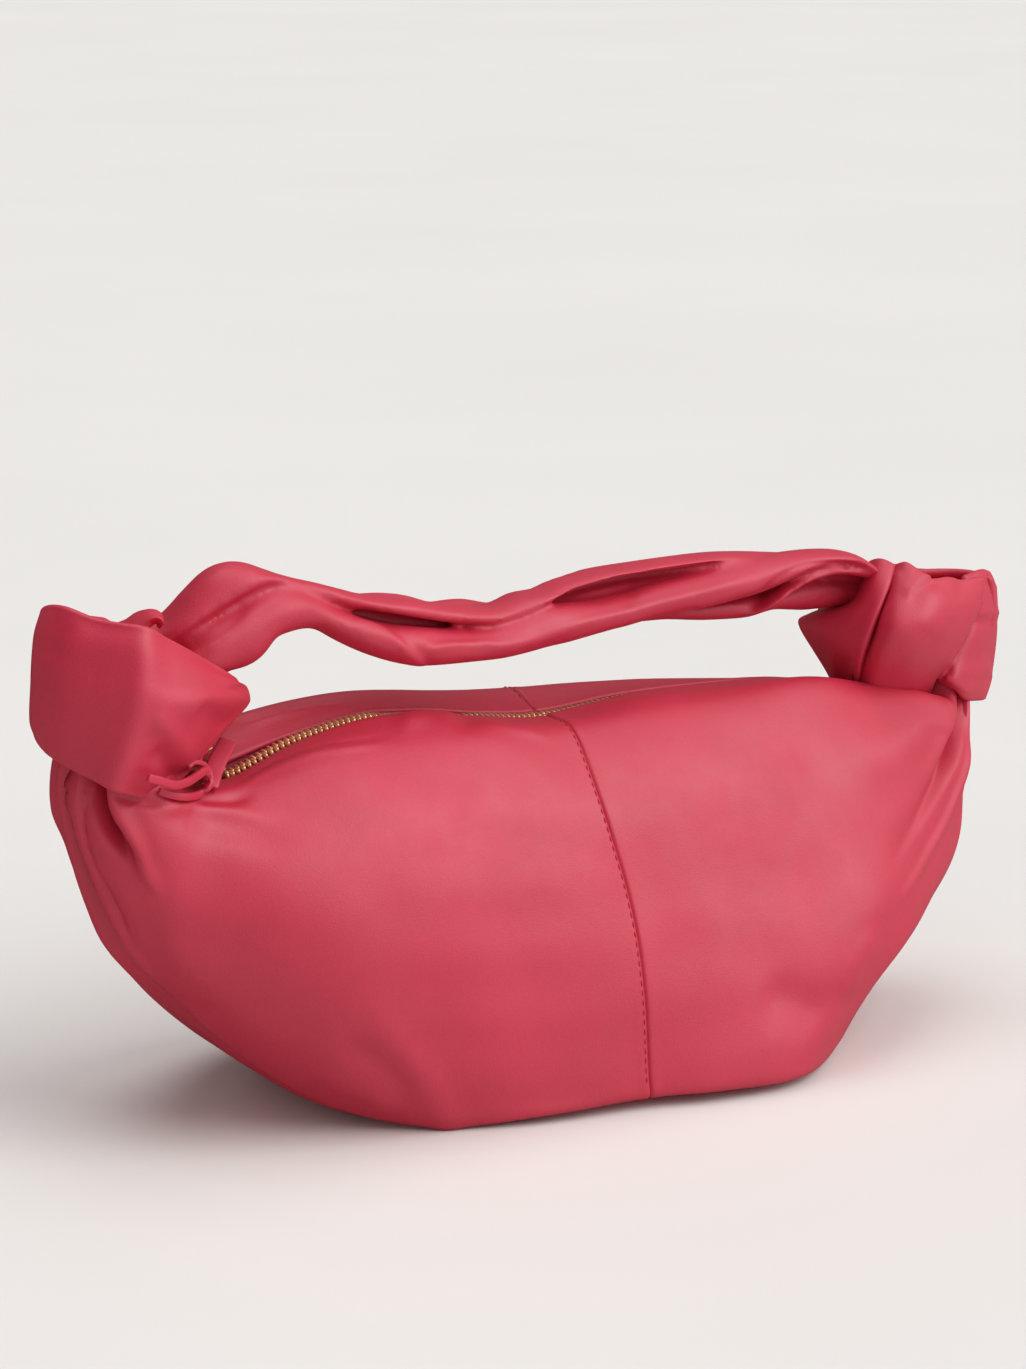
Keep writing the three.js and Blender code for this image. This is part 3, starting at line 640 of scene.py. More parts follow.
GRID = {}
for back in (False, True):
    word = "back" if back else "front"
    g, n = pouch_grid(S_STEPS, V_STEPS, back)
    GRID[back] = (g, n)
    mid_i = int(np.argmin(np.abs(S_STEPS - MIDDLE)))
    for left in (False, True):
        sl = slice(mid_i, None) if left else slice(0, mid_i + 1)
        hand = "left" if left else "right"
        ob = shell(f"{word}_{hand}_leather", g[sl], n[sl], 2.0, LEATHER, 2.0 + (1.4 if back else 6.0) * LIP[sl])
        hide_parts(f"{word}_{hand}_panel")
        if not back:
            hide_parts(f"{hand}_gathered_end")
        bend(ob)

# underside: a flat stiff base that turns up into the ends
v_under = np.concatenate([np.linspace(6.5, 7.0, 6), np.linspace(7.1, 9, 20)])
gf, gb = surf(S_STEPS, v_under, False), surf(S_STEPS, v_under, True)
under = np.concatenate([gf, gb[:, -2::-1]], axis=1)
lip = np.concatenate([v_under, v_under[-2::-1]])[None, :]
round_w = np.concatenate([v_under, 18 - v_under[-2::-1]])
under[:, :, 2] = np.maximum(under[:, :, 2], 0.1)
under_n = grid_normals(under)
if under_n[len(under) // 2, under.shape[1] // 2, 2] > 0:
    under_n = -under_n
edge = smooth(6.5, 6.9, lip)[..., None]
under = under + under_n * (gathers(round_w, True)[..., None] - 0.9 * (1 - edge))
under[:, :, 2] = np.maximum(under[:, :, 2], 0.1)
base = make("base_leather", np.concatenate([under.reshape(-1, 3), (under - under_n * 1.6).reshape(-1, 3)]),
            np.concatenate([quads(*under.shape[:2], flip=True), quads(*under.shape[:2], start=under.shape[0] * under.shape[1])]), LEATHER)
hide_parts("base_panel")
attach(base, "bag")

# ------------------------------------------------------------------------------------------------ lining
mid_i = int(np.argmin(np.abs(S_STEPS - MIDDLE)))
in_range = np.where((S_STEPS > 4.2) & (S_STEPS < 13.8))[0]
for back in (False, True):
    g, n = GRID[back]
    word = "back" if back else "front"
    for left in (False, True):
        rows = in_range[in_range >= mid_i] if left else in_range[in_range <= mid_i]
        hand = "left" if left else "right"
        gi = g[rows][:, 6:142] - n[rows][:, 6:142] * 3.6
        ni = n[rows][:, 6:142]
        inner = gi - ni * 0.7
        nu, nv = gi.shape[:2]
        ob = make(f"{word}_{hand}_lining_cloth", np.concatenate([gi.reshape(-1, 3), inner.reshape(-1, 3)]),
                  np.concatenate([quads(nu, nv), quads(nu, nv, flip=True, start=nu * nv)]), LINING)
        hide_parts(f"{word}_lining")
        bend(ob)

# ------------------------------------------------------------------------------------------------ zip
order = np.argsort(GRID[False][0][:, 0, 0] + GRID[True][0][:, 0, 0])
EDGE_X = ((GRID[False][0][:, 0, 0] + GRID[True][0][:, 0, 0]) / 2)[order]
EDGE_Z = np.minimum(GRID[False][0][:, 0, 2], GRID[True][0][:, 0, 2])[order] - 0.7


def zip_z(x):
    return np.interp(x, EDGE_X, EDGE_Z)


def blocks(rows, size, chamfer):
    """Many small boxes with cut corners: rows of (centre, along, across, up)."""
    a, b, c = size
    k = chamfer
    ring = [(-a + k, -b), (a - k, -b), (a, -b + k), (a, b - k), (a - k, b), (-a + k, b), (-a, b - k), (-a, -b + k)]
    loc = np.array([(x * s, y * s, z) for z, s in ((-c, 0.9), (-c + k, 1.0), (c - k, 1.0), (c, 0.82)) for x, y in ring])
    verts, faces = [], []
    q = []
    for r in range(3):
        for i in range(8):
            j = (i + 1) % 8
            q.append((r * 8 + i, r * 8 + j, r * 8 + 8 + j, r * 8 + 8 + i))
    for base in (0, 24):
        cap = [(0, 1, 2, 3), (0, 3, 4, 7), (7, 4, 5, 6)]
        for f in cap:
            f = tuple(base + i for i in f)
            q.append(f[::-1] if base == 0 else f)
    q = np.array(q)
    for m, (cen, al, ac, up) in enumerate(rows):
        verts.append(cen + loc[:, :1] * al + loc[:, 1:2] * ac + loc[:, 2:] * up)
        faces.append(q + m * len(loc))
    return np.concatenate(verts), np.concatenate(faces)


PITCH = 1.9
for back in (False, True):
    g, n = GRID[back]
    sy = 1 if back else -1
    word = "back" if back else "front"
    xs = np.arange(-112.5, 104, PITCH) + (PITCH / 2 if back else 0)
    for left in (False, True):
        hand = "left" if left else "right"
        rows = []
        for x in xs[(xs < 0) if left else (xs >= 0)]:
            slope = (zip_z(x + 1) - zip_z(x - 1)) / 2
            al = np.array([1, 0, slope]) / math.hypot(1, slope)
            up = np.array([-al[2], 0, al[0]])
            rows.append((np.array([x, sy * 0.95, zip_z(x) - np.interp(x, [-64, -54, -34, -24, 20, 60], [0, 1.5, 1.5, 0.6, 0.6, 0.9])]), al, np.array([0, 1.0, 0]), up))
        v, f = blocks(rows, (0.48, 1.55, 0.95), 0.24)
        ob = make(f"{word}_{hand}_teeth_metal", v, f, BRASS)
        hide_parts(f"{word}_zip_teeth")
        bend(ob)
        # woven tape under the leather's rolled edge
        ii = np.where((S_STEPS > 3.6) & (S_STEPS < 14.6) & ((S_STEPS >= MIDDLE) if left else (S_STEPS <= MIDDLE)))[0]
        e = g[ii, 0]
        zc = zip_z(e[:, 0])
        t0 = np.stack([e[:, 0], np.full(len(ii), sy * 0.9), zc - 0.55], -1)
        t1 = np.stack([e[:, 0], e[:, 1] * 0 + sy * 3.2, zc - 0.45], -1)
        t2 = g[ii, 0] - n[ii, 0] * 2.3
        t2[:, 1] = sy * 5.2
        t2[:, 2] = np.minimum(t2[:, 2], zc - 0.5)
        t3 = g[ii, 4] - n[ii, 4] * 2.5
        t4 = g[ii, 8] - n[ii, 8] * 2.7
        tape = np.stack([t0, t1, t2, t3, t4], 1)
        nu, nv = tape.shape[:2]
        low = tape - np.array([0, 0, 0.5])
        ob = make(f"{word}_{hand}_tape_weave", np.concatenate([tape.reshape(-1, 3), low.reshape(-1, 3)]),
                  np.concatenate([quads(nu, nv), quads(nu, nv, flip=True, start=nu * nv)]), TAPE)
        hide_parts(f"{word}_zip_tape")
        bend(ob)

# far end of the zip: a small metal stop and a leather tab under the right knot
v, f = blocks([(np.array([106.0, 0, zip_z(106) + 0.3]), np.array([1.0, 0, -0.15]), np.array([0, 1.0, 0]), np.array([0.15, 0, 1.0]))], (1.6, 2.9, 1.3), 0.5)
ob = make("zip_far_stop_metal", v, f, BRASS)
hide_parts("zip_far_stop")
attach(ob, "bag")


def ribbon(path, width, thick, side_dir=None, n=60, m=10):
    """A strip of leather with rounded edges along a path; rows of path are points, maybe with a side direction."""
    path = np.asarray(path, float)
    t = np.linspace(0, len(path) - 1, n)
    c = cr(path, t)
    tan = np.gradient(c, axis=0)
    tan /= np.linalg.norm(tan, axis=1, keepdims=True)
    sd = np.asarray(side_dir, float)
    sd = cr(sd, t * (len(sd) - 1) / (len(path) - 1)) if sd.ndim == 2 else np.repeat(sd[None], n, 0)
    sd = sd - tan * (sd * tan).sum(1, keepdims=True)
    sd /= np.linalg.norm(sd, axis=1, keepdims=True)
    up = np.cross(tan, sd)
    a = np.linspace(0, 2 * math.pi, 2 * m, endpoint=False)
    ca, sa = np.cos(a), np.sin(a)
    px_, py_ = np.sign(ca) * np.abs(ca) ** 0.35 * width / 2, np.sign(sa) * np.abs(sa) ** 0.7 * thick / 2
    end = np.minimum(1, 0.75 + 0.25 * np.sin(np.minimum(np.minimum(np.arange(n), n - 1 - np.arange(n)) / 2.0, 1.0) * math.pi / 2))
    ring = c[:, None] + sd[:, None] * (px_[None, :] * end[:, None])[..., None] + up[:, None] * (py_[None, :] * end[:, None])[..., None]
    k = 2 * m
    verts = np.concatenate([ring.reshape(-1, 3), c[:1], c[-1:]])
    f = []
    for i in range(n - 1):
        for j in range(k):
            j2 = (j + 1) % k
            f.append((i * k + j, i * k + j2, (i + 1) * k + j2, (i + 1) * k + j))
    tri = [(n * k, j2, j) for j, j2 in ((j, (j + 1) % k) for j in range(k))]
    tri += [(n * k + 1, (n - 1) * k + j, (n - 1) * k + (j + 1) % k) for j in range(k)]
    return verts, np.array(f), np.array(tri)


def join_meshes(parts):
    v, q, t, k = [], [], [], 0
    for vv, qq, tt in parts:
        v.append(vv)
        q.append(np.asarray(qq, int).reshape(-1, 4) + k)
        t.append(np.asarray(tt, int).reshape(-1, 3) + k)
        k += len(vv)
    return np.concatenate(v), np.concatenate(q), np.concatenate(t)


v, q, t = ribbon([(106, 0, zip_z(106) - 1.4), (110, 0, zip_z(110) - 1.2), (115, 0, zip_z(115) - 1.5), (119, 0, zip_z(119) - 2.5)], 9, 1.4, (0, 1, 0), 24)
ob = make("zip_far_tab_leather", v, q, LEATHER, t)
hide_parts("zip_far_tab")
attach(ob, "bag")

# slider: two plates, a bridge and a ring
SL = np.array([-118.45, 0, 109.45])


def plate(cx, z, lx, ly0, ly1, h):
    """A small rounded plate, narrower at one end."""
    a = np.linspace(0, 2 * math.pi, 28, endpoint=False)
    ca, sa = np.cos(a), np.sin(a)
    x = np.sign(ca) * np.abs(ca) ** 0.55 * lx / 2
    w = ly0 + (ly1 - ly0) * (x / lx + 0.5)
    y = np.sign(sa) * np.abs(sa) ** 0.55 * w / 2
    rings = [(0.0, -h / 2), (0.9, -h / 2), (1.0, -h / 4), (1.0, h / 4), (0.9, h / 2), (0.0, h / 2)]
    g = np.array([[(cx + xx * s, yy * s, z + dz) for xx, yy in zip(x, y)] for s, dz in rings])
    n = len(a)
    f = [(r * n + i, r * n + (i + 1) % n, (r + 1) * n + (i + 1) % n, (r + 1) * n + i) for r in range(len(rings) - 1) for i in range(n)]
    return g.reshape(-1, 3), np.array(f), np.zeros((0, 3), int)


def torus(c, ax_u, ax_v, ru, rv, r, n=36, m=10):
    a = np.linspace(0, 2 * math.pi, n, endpoint=False)
    b = np.linspace(0, 2 * math.pi, m, endpoint=False)
    ax_u, ax_v = np.asarray(ax_u, float), np.asarray(ax_v, float)
    ax_w = np.cross(ax_u, ax_v)
    g = np.array([[c + ax_u * (ru + r * math.cos(t)) * math.cos(s) + ax_v * (rv + r * math.cos(t)) * math.sin(s) + ax_w * r * math.sin(t) for t in b] for s in a])
    f = [(i * m + j, ((i + 1) % n) * m + j, ((i + 1) % n) * m + (j + 1) % m, i * m + (j + 1) % m) for i in range(n) for j in range(m)]
    return g.reshape(-1, 3), np.array(f), np.zeros((0, 3), int)


v, q, t = join_meshes([plate(SL[0], SL[2] - 0.2, 11, 5.0, 7.4, 1.3), plate(SL[0], SL[2] - 4.4, 11, 5.0, 7.4, 1.2), plate(SL[0], SL[2] - 2.2, 3.0, 1.6, 1.6, 4.0)])
ob = make("slider_metal", v, q, BRASS)
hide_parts("zip_slider")
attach(ob, "zip_slider")
v, q, t = join_meshes([plate(SL[0] + 0.4, SL[2] + 1.3, 3.0, 2.2, 2.2, 2.6), torus(np.array([SL[0] + 1.2, 0, SL[2] + 3.6]), (0.94, 0, 0.34), (-0.34, 0, 0.94), 3.4, 2.3, 0.55)])
ob = make("slider_bridge_metal", v, q, BRASS)
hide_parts("zip_slider_post")
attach(ob, "zip_slider")

# leather band over the slider's bridge
PX_FRONT = pix(GRID[False][0].reshape(-1, 3))
NEAR_FRONT = np.linalg.norm(GRID[False][0].reshape(-1, 3) - EYE, axis=1)


def on_pouch(px, py, lift, most=40.0):
    """The point of the front that shows at a pixel, lifted towards the viewer by some mm."""
    d = np.linalg.norm(PX_FRONT - np.array([px, py]), axis=1)
    k = np.where(d < 5.0)[0]
    k = k[np.argsort(NEAR_FRONT[k])[:6]] if len(k) else np.argsort(d)[:4]
    y = GRID[False][0].reshape(-1, 3)[k, 1].mean()
    p = P(px, py, max(y, -most))
    return p + (EYE - p) / np.linalg.norm(EYE - p) * lift


v, q, t = ribbon([P(228, 741, 0.9), P(225, 747, -1.4), P(219, 758, -5.9), P(214, 770, -9.9), P(211, 780, -13), P(209, 787, -14.6)], 5.6, 1.5, RIGHT * 0.94 - UP * 0.34)
ob = make("pull_band_leather", v, q, LEATHER, t)
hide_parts("zip_pull_loop")
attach(ob, "zip_pull")
# lace threaded through it, with two free tails
LACE_UP = UP * 0.9 + BACK * 0.3
v, q, t = join_meshes([
    ribbon([P(148, 778, -31.5), P(160, 781, -30), P(174, 785, -27.2), P(187, 782, -23.4), P(197, 776, -18.6), P(205, 771, -15.8), P(210, 775, -15.0)], 2.7, 1.6, LACE_UP, 70),
    ribbon([on_pouch(159, 791, 1.4), on_pouch(172, 795, 1.4), on_pouch(187, 797, 1.4), on_pouch(200, 794, 1.6), P(208, 787, -16.6), P(211, 779, -15.6), P(208, 769, -14.4), P(201, 763, -14.8), P(193, 763, -16.2), P(188, 768, -18)], 2.4, 1.6, np.array([LACE_UP, LACE_UP, LACE_UP, LACE_UP, RIGHT * 0.8 + BACK * 0.6, BACK, BACK, BACK, BACK, BACK]), 90),
])
ob = make("pull_lace_leather", v, q, LEATHER, t)
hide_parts("zip_pull_tails")
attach(ob, "zip_pull")

# ------------------------------------------------------------------------------------------------ seam stitches
def stitches(g, n, shift, pitch=3.0, length=2.3, r=0.26):
    """Short thread stitches along a column of the pouch, beside the seam."""
    line = g + np.array([shift, 0, 0])
    d = np.concatenate([[0], np.cumsum(np.linalg.norm(np.diff(line, axis=0), axis=1))])
    at = lambda s, a: np.stack([np.interp(s, d, a[:, k]) for k in range(3)], -1)
    parts = []
    m = 6
    for s0 in np.arange(3.0, d[-1] - 4, pitch):
        u = np.linspace(0, 1, 6)
        c = at(s0 + u * length, line)
        nn = at(s0 + u * length, n)
        c = c + nn * (0.28 * np.sin(u * math.pi) - 0.12)[:, None]
        tan = np.gradient(c, axis=0)
        tan /= np.linalg.norm(tan, axis=1, keepdims=True)
        sd = np.cross(tan, nn)
        rad = r * (0.35 + 0.65 * np.sin(np.clip(u, 0.06, 0.94) * math.pi))
        a = np.linspace(0, 2 * math.pi, m, endpoint=False)
        ring = c[:, None] + (np.cos(a)[None, :, None] * sd[:, None] + np.sin(a)[None, :, None] * nn[:, None]) * rad[:, None, None]
        f = [(i * m + j, i * m + (j + 1) % m, (i + 1) * m + (j + 1) % m, (i + 1) * m + j) for i in range(5) for j in range(m)]
        parts.append((ring.reshape(-1, 3), np.array(f), np.zeros((0, 3), int)))
    return join_meshes(parts)


for back in (False, True):
    g, n = GRID[back]
    word = "back" if back else "front"
    row = int(np.argmin(np.abs(S_STEPS - MIDDLE - 0.034)))
    v, q, t = stitches(g[row, 3:143], n[row, 3:143], 0.0)
    ob = make(f"{word}_seam_stitches", v, q, THREAD)
    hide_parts(f"{word}_seam_thread")
    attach(ob, "back_side" if back else "front_side")

# ------------------------------------------------------------------------------------------------ knots
def tidy(ob):
    """Faces of a closed piece all look outward."""
    import bmesh

    bm = bmesh.new()
    bm.from_mesh(ob.data)
    bmesh.ops.recalc_face_normals(bm, faces=bm.faces)
    bm.to_mesh(ob.data)
    bm.free()
    ob.data.polygons.foreach_set("use_smooth", np.ones(len(ob.data.polygons), bool))
    return ob


def pad(ctrl, thick, centre, nu=34, nv=34, folds=()):
    """A soft leather patch through a grid of points, with rolled rims."""
    c = np.asarray(ctrl, float)
    g = cr(c, np.linspace(0, c.shape[0] - 1, nu))
    g = cr(g.swapaxes(0, 1), np.linspace(0, c.shape[1] - 1, nv)).swapaxes(0, 1)
    n = grid_normals(g)
    if ((g - centre) * n).sum() < 0:
        n = -n
    if folds:
        g = strokes(g.reshape(-1, 3), n.reshape(-1, 3), folds, facing=False).reshape(g.shape)
    inner = g - n * thick
    loop = [(i, 0) for i in range(nu)] + [(nu - 1, j) for j in range(1, nv)] + [(i, nv - 1) for i in range(nu - 2, -1, -1)] + [(0, j) for j in range(nv - 2, 0, -1)]
    li = np.array([i for i, j in loop])
    lj = np.array([j for i, j in loop])
    ci = np.clip(li, 1, nu - 2)
    cj = np.clip(lj, 1, nv - 2)
    out = g[li, lj] - g[ci, cj]
    out /= np.linalg.norm(out, axis=1, keepdims=True)
    b, bn = g[li, lj], n[li, lj]
    rings = [b - bn * thick * d + out * thick * o for d, o in ((0.12, 0.33), (0.5, 0.5), (0.88, 0.33))]
    a = nu * nv
    L = len(loop)
    ids = [li * nv + lj] + [2 * a + k * L + np.arange(L) for k in range(3)] + [a + li * nv + lj]
    f = [quads(nu, nv), quads(nu, nv, flip=True, start=a)]
    for p, q in zip(ids[:-1], ids[1:]):
        f.append(np.stack([p, np.roll(p, -1), np.roll(q, -1), q], -1))
    return np.concatenate([g.reshape(-1, 3), inner.reshape(-1, 3)] + rings), np.concatenate(f), np.zeros((0, 3), int)


# left knot: one broad smooth turn, a lifted corner at the far left and a pinched tip at the right
LK = [
    (P(141, 629, -25), P(141, 702, -31), P(117, 790, -26)),
    (P(172, 642, -23), P(178, 708, -32), P(150, 797, -21)),
    (P(207, 660, -17), P(214, 702, -27), P(188, 775, -14)),
    (P(239, 679, -11), P(249, 699.5, -12), P(236, 716, -8)),
    (P(230, 684, 4), P(239, 697, 5), P(231, 711, 4)),
    (np.array([-113.0, 21, 147]), np.array([-110.0, 24, 136]), np.array([-113.0, 21, 121])),
    (np.array([-132.0, 29, 147]), np.array([-131.0, 33, 134]), np.array([-133.0, 28, 116])),
    (np.array([-154.0, 25, 152]), np.array([-157.0, 30, 138]), np.array([-155.0, 25, 118])),
    (P(39.5, 610, 8), P(31, 688, 6), P(33.5, 735, 8)),
    (P(58, 607.5, -4), P(54, 692, -9), P(46, 755, -5)),
    (P(96, 621, -15), P(94, 698, -21), P(82, 776, -17)),
]


def barrel(cols, centre, folds, ncol=150):
    """A closed soft barrel through columns of (top rim, middle, bottom rim) points."""
    out = []
    for top, mid, bot in cols:
        rows = []
        inward = centre[:2] - mid[:2]
        inward = np.append(inward / np.linalg.norm(inward), 0)
        up = np.array([0, 0, 1.0])
        rows.append(top + inward * 17 - up * 5.5)
        rows.append(top + inward * 6.0 - up * 2.6)
        rows.append(top + inward * 2.2 + up * 0.2)
        rows.append(top + inward * 0.6 + up * 0.1)
        rows.append(top - up * 1.4 - inward * 0.1)
        rows.append(top * 0.70 + mid * 0.30 - inward * 1.0)
        rows.append(top * 0.35 + mid * 0.65 - inward * 0.8)
        rows.append(mid)
        rows.append(bot * 0.35 + mid * 0.65 - inward * 0.8)
        rows.append(bot * 0.70 + mid * 0.30 - inward * 1.0)
        rows.append(bot + up * 1.4 - inward * 0.1)
        rows.append(bot + inward * 0.6 - up * 0.1)
        rows.append(bot + inward * 2.6 - up * 0.0)
        rows.append(bot + inward * 7.0 + up * 3.0)
        rows.append(bot + inward * 15.0 + up * 9.0)
        out.append(rows)
    net = np.array(out)  # (cols, 15, 3)
    g = cr_closed(net, np.linspace(0, len(cols), ncol, endpoint=False))
    steps = np.concatenate([np.linspace(k, k + 1, m, endpoint=False) for k, m in enumerate([3, 3, 3, 3, 5, 7, 7, 7, 7, 5, 3, 3, 3, 3])] + [[14.0]])
    g = cr(g.swapaxes(0, 1), steps).swapaxes(0, 1)
    n = grid_normals(g, True)
    mid = g.shape[1] // 2
    if ((g[:, mid] - centre) * n[:, mid]).sum() < 0:
        n = -n
    flat = strokes(g.reshape(-1, 3), n.reshape(-1, 3), folds)
    nv = g.shape[1]
    c0, c1 = flat.reshape(g.shape)[:, 0].mean(0), flat.reshape(g.shape)[:, -1].mean(0)
    f = quads(ncol, nv, True)
    verts = np.concatenate([flat, [c0], [c1]])
    tri = [(len(flat), i * nv, ((i + 1) % ncol) * nv) for i in range(ncol)]
    tri += [(len(flat) + 1, i * nv + nv - 1, ((i + 1) % ncol) * nv + nv - 1) for i in range(ncol)]
    return verts, f, np.array(tri)


LK_FOLDS = [
    ("g", [(44, 660), (56, 634), (78, 618)], 12, -1.0, 0.2, 0.4),
    ("g", [(146, 636), (143, 680), (137, 716), (127, 756), (115, 786)], 14, 1.0, 0.0, 0.0),
    ("g", [(150, 714), (172, 734), (198, 764)], 11, 1.3, 0.2, 0.3),
    ("g", [(150, 748), (166, 763), (177, 782)], 11, -1.8, 0.3, 0.1),
    ("g", [(198, 706), (216, 722), (226, 730)], 14, -1.2, 0.3, 0.1),
    ("v", [(246, 686), (238, 688), (226, 690)], 4, -1.0, 0.0, 0.6),
]
LK_C = np.array([-138.0, 0.0, 136.0])
v, q, t = barrel(LK, LK_C, LK_FOLDS)
ob = tidy(make("left_knot_leather", v, q, LEATHER, t))
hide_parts("left_knot_wrap", "left_knot_turn")
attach(ob, "bag")


def roll(rows, n=22, seg=70, closed_ends=True):
    """A soft tube along picture points: rows of (px, py, y, half height in pixels, half depth in mm)."""
    rows = np.asarray(rows, float)
    r = cr(rows, np.linspace(0, len(rows) - 1, seg))
    c = np.array([P(a, b, y) for a, b, y in r[:, :3]])
    tan = np.gradient(c, axis=0)
    tan /= np.linalg.norm(tan, axis=1, keepdims=True)
    dep = np.array([0, 1.0, 0]) - tan * tan[:, 1:2]
    dep /= np.linalg.norm(dep, axis=1, keepdims=True)
    up = np.cross(dep, tan)
    ru, rd = r[:, 3] * DIST / FPX, r[:, 4]
    a = np.linspace(0, 2 * math.pi, n, endpoint=False)
    g = c[:, None] + up[:, None] * (np.cos(a)[None] * ru[:, None])[..., None] + dep[:, None] * (np.sin(a)[None] * rd[:, None])[..., None]
    f = [(i * n + j, i * n + (j + 1) % n, (i + 1) * n + (j + 1) % n, (i + 1) * n + j) for i in range(seg - 1) for j in range(n)]
    verts = np.concatenate([g.reshape(-1, 3), c[:1], c[-1:]])
    tri = [(seg * n, (j + 1) % n, j) for j in range(n)] + [(seg * n + 1, (seg - 1) * n + j, (seg - 1) * n + (j + 1) % n) for j in range(n)]
    return verts, np.array(f), np.array(tri)


# a small curl of the strap's edge over the left knot's rim
v, q, t = roll([(80, 646, 15, 3, 3), (94, 639, 13, 4, 4.5), (108, 635, 10, 4.6, 6), (124, 631.5, 5, 4.8, 6.5), (140, 625, 0, 4.8, 6.5), (151, 620.5, -3, 4.2, 5.5), (158, 621, -5, 3.4, 4), (162, 626, -6, 2.8, 2.5)], 20, 60)
ob = tidy(make("left_knot_curl_leather", v, q, LEATHER, t))
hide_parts("left_knot_turn")
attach(ob, "bag")

# right knot: three overlapping turns on the front, the same again on the back, over a full core
RK_C = np.array([138.0, 3.0, 127.0])
F1 = [[P(*a) for a in row] for row in (
    [(864, 566, 2), (872, 563, -4), (882, 562, -10), (895, 566, -13.5), (902, 569, -8)],
    [(857, 582, 9), (866, 581, -6), (877, 583, -14), (891, 584, -17.5), (898, 585, -11)],
    [(846, 600, 12), (856, 602, -6), (869, 606, -15), (883, 602.5, -19.5), (890.5, 603, -13)],
    [(812, 612, 10), (834, 616, -3), (857, 622, -13), (875, 620.5, -20), (883, 621, -14)],
    [(799, 624, 10), (824, 636, -2), (848, 642, -12), (867, 643, -19), (875, 644, -13)],
    [(816, 655, 8), (834, 662, -2), (848, 666, -10), (860, 665, -15.5), (867.5, 665.5, -10.5)],
    [(833, 682, 5), (843, 686, -2), (852, 688, -8), (857, 688, -11), (861, 688, -8)],
    [(842, 702, 2), (848, 704, -2), (854, 706, -5), (858, 706, -7), (861, 706, -5)],
)]
F2 = [[P(*a) for a in row] for row in (
    [(891, 566, -8), (896, 565, -13), (906, 563, -17), (918, 570, -20), (932, 579, -22), (948, 578, -21), (964, 580, -18), (985, 578, -14.5)],
    [(888, 588, -11), (894, 588.5, -18.5), (903, 592, -23), (916, 597, -26), (932, 600, -28), (948, 602, -27), (964, 604, -24.5), (981, 603, -18)],
    [(876, 620, -13), (883, 621, -21.5), (892, 625, -27), (907, 629, -30), (923, 631, -31), (938, 632, -29.5), (953, 632, -26), (969, 631, -20)],
    [(864, 649, -11), (871, 651, -19.5), (881, 656, -24), (896, 659, -26), (911, 660, -27), (925, 660, -25.5), (938, 660, -23), (951, 660, -19)],
    [(856, 675, -7), (862, 677, -13), (872, 681, -17), (886, 683, -18), (900, 684, -18), (913, 684, -17.5), (925, 682, -16), (936, 680, -13.5)],
    [(851, 698, -4), (856, 699, -8), (866, 702, -10), (880, 704, -11), (894, 704, -11), (906, 704, -10), (918, 702, -9), (929, 699, -7)],
)]
F3 = [[P(*a) for a in row] for row in (
    [(968, 578, -10), (981, 573, -7), (991, 574, -3), (997, 587, 1)],
    [(972, 604, -13), (985, 605, -11), (994, 607, -5), (998, 611, 0)],
    [(960, 634, -15), (977, 637, -13), (990, 639, -7), (996.5, 641, -1)],
    [(944, 664, -15), (964, 668, -15), (982, 671, -9), (992.5, 672, -1)],
    [(938, 676, -13), (953, 681, -17), (973, 689, -14), (990, 686, -4)],
    [(939, 682, -12), (952, 688, -15), (969, 698, -14), (986, 698, -5)],
)]
F1_FOLDS = [
    ("g", [(880, 560), (872, 584), (862, 606), (840, 636)], 11, 1.2, 0.0, 0.4),
    ("v", [(904, 566), (897, 580), (889, 596), (881, 618), (872, 644), (862, 664)], 4, -0.8, 0.0, 0.3),
    ("g", [(832, 650), (834, 668), (838, 684)], 6, 1.0, 0.2, 0.0),
    ("g", [(842, 652), (846, 670), (850, 686)], 6, -1.0, 0.2, 0.0),
]
F2_FOLDS = [
    ("s", [(908, 598), (916, 589), (923, 582), (934, 577)], 4, -1.0, 0.1, 0.1),
    ("g", [(899, 568), (893, 588), (884, 612), (874, 640)], 5, 0.9, 0.1, 0.4),
    ("g", [(961, 574), (961, 588), (955, 604)], 4, -0.7, 0.0, 0.6),
    ("g", [(956, 598), (938, 612), (924, 636)], 18, 0.8, 0.3, 0.3),
    ("g", [(979, 600), (963, 634), (945, 668)], 4, 0.5, 0.1, 0.1),
]
F3_FOLDS = [
    ("v", [(970, 624), (984, 622), (1000, 620)], 5, -1.4, 0.1, 0.35),
    ("g", [(976, 614), (988, 613), (1000, 613)], 4, 0.5, 0.1, 0.0),
    ("v", [(984, 602), (973, 631), (955, 661), (942, 678)], 3, -1.4, 0.1, 0.0),
    ("g", [(950, 672), (972, 672), (992, 668)], 10, 0.9, 0.1, 0.1),
]
B1 = np.array([
    [(136, 21, 139), (126, 16, 139.8), (121, 9, 139), (119, 4, 138)],
    [(133, 27, 134), (121, 20, 134), (117, 12, 132), (117, 9, 131)],
    [(130, 28, 126), (121, 20, 126), (118, 12, 124), (118, 8, 122)],
    [(134, 25, 108), (128, 17, 107), (124, 9, 106), (122, 3, 105)],
], float)
B2 = np.array([
    [(168, 9, 136.8), (158, 18, 137.6), (142, 23, 137.6), (124, 20, 138.8)],
    [(171, 11, 131), (160, 24, 132), (141, 30, 133), (125, 25, 134)],
    [(171, 11, 122), (159, 25, 123), (141, 31, 125), (127, 27, 126)],
    [(166, 9, 109), (155, 21, 108), (142, 27, 107), (132, 24, 107)],
], float)
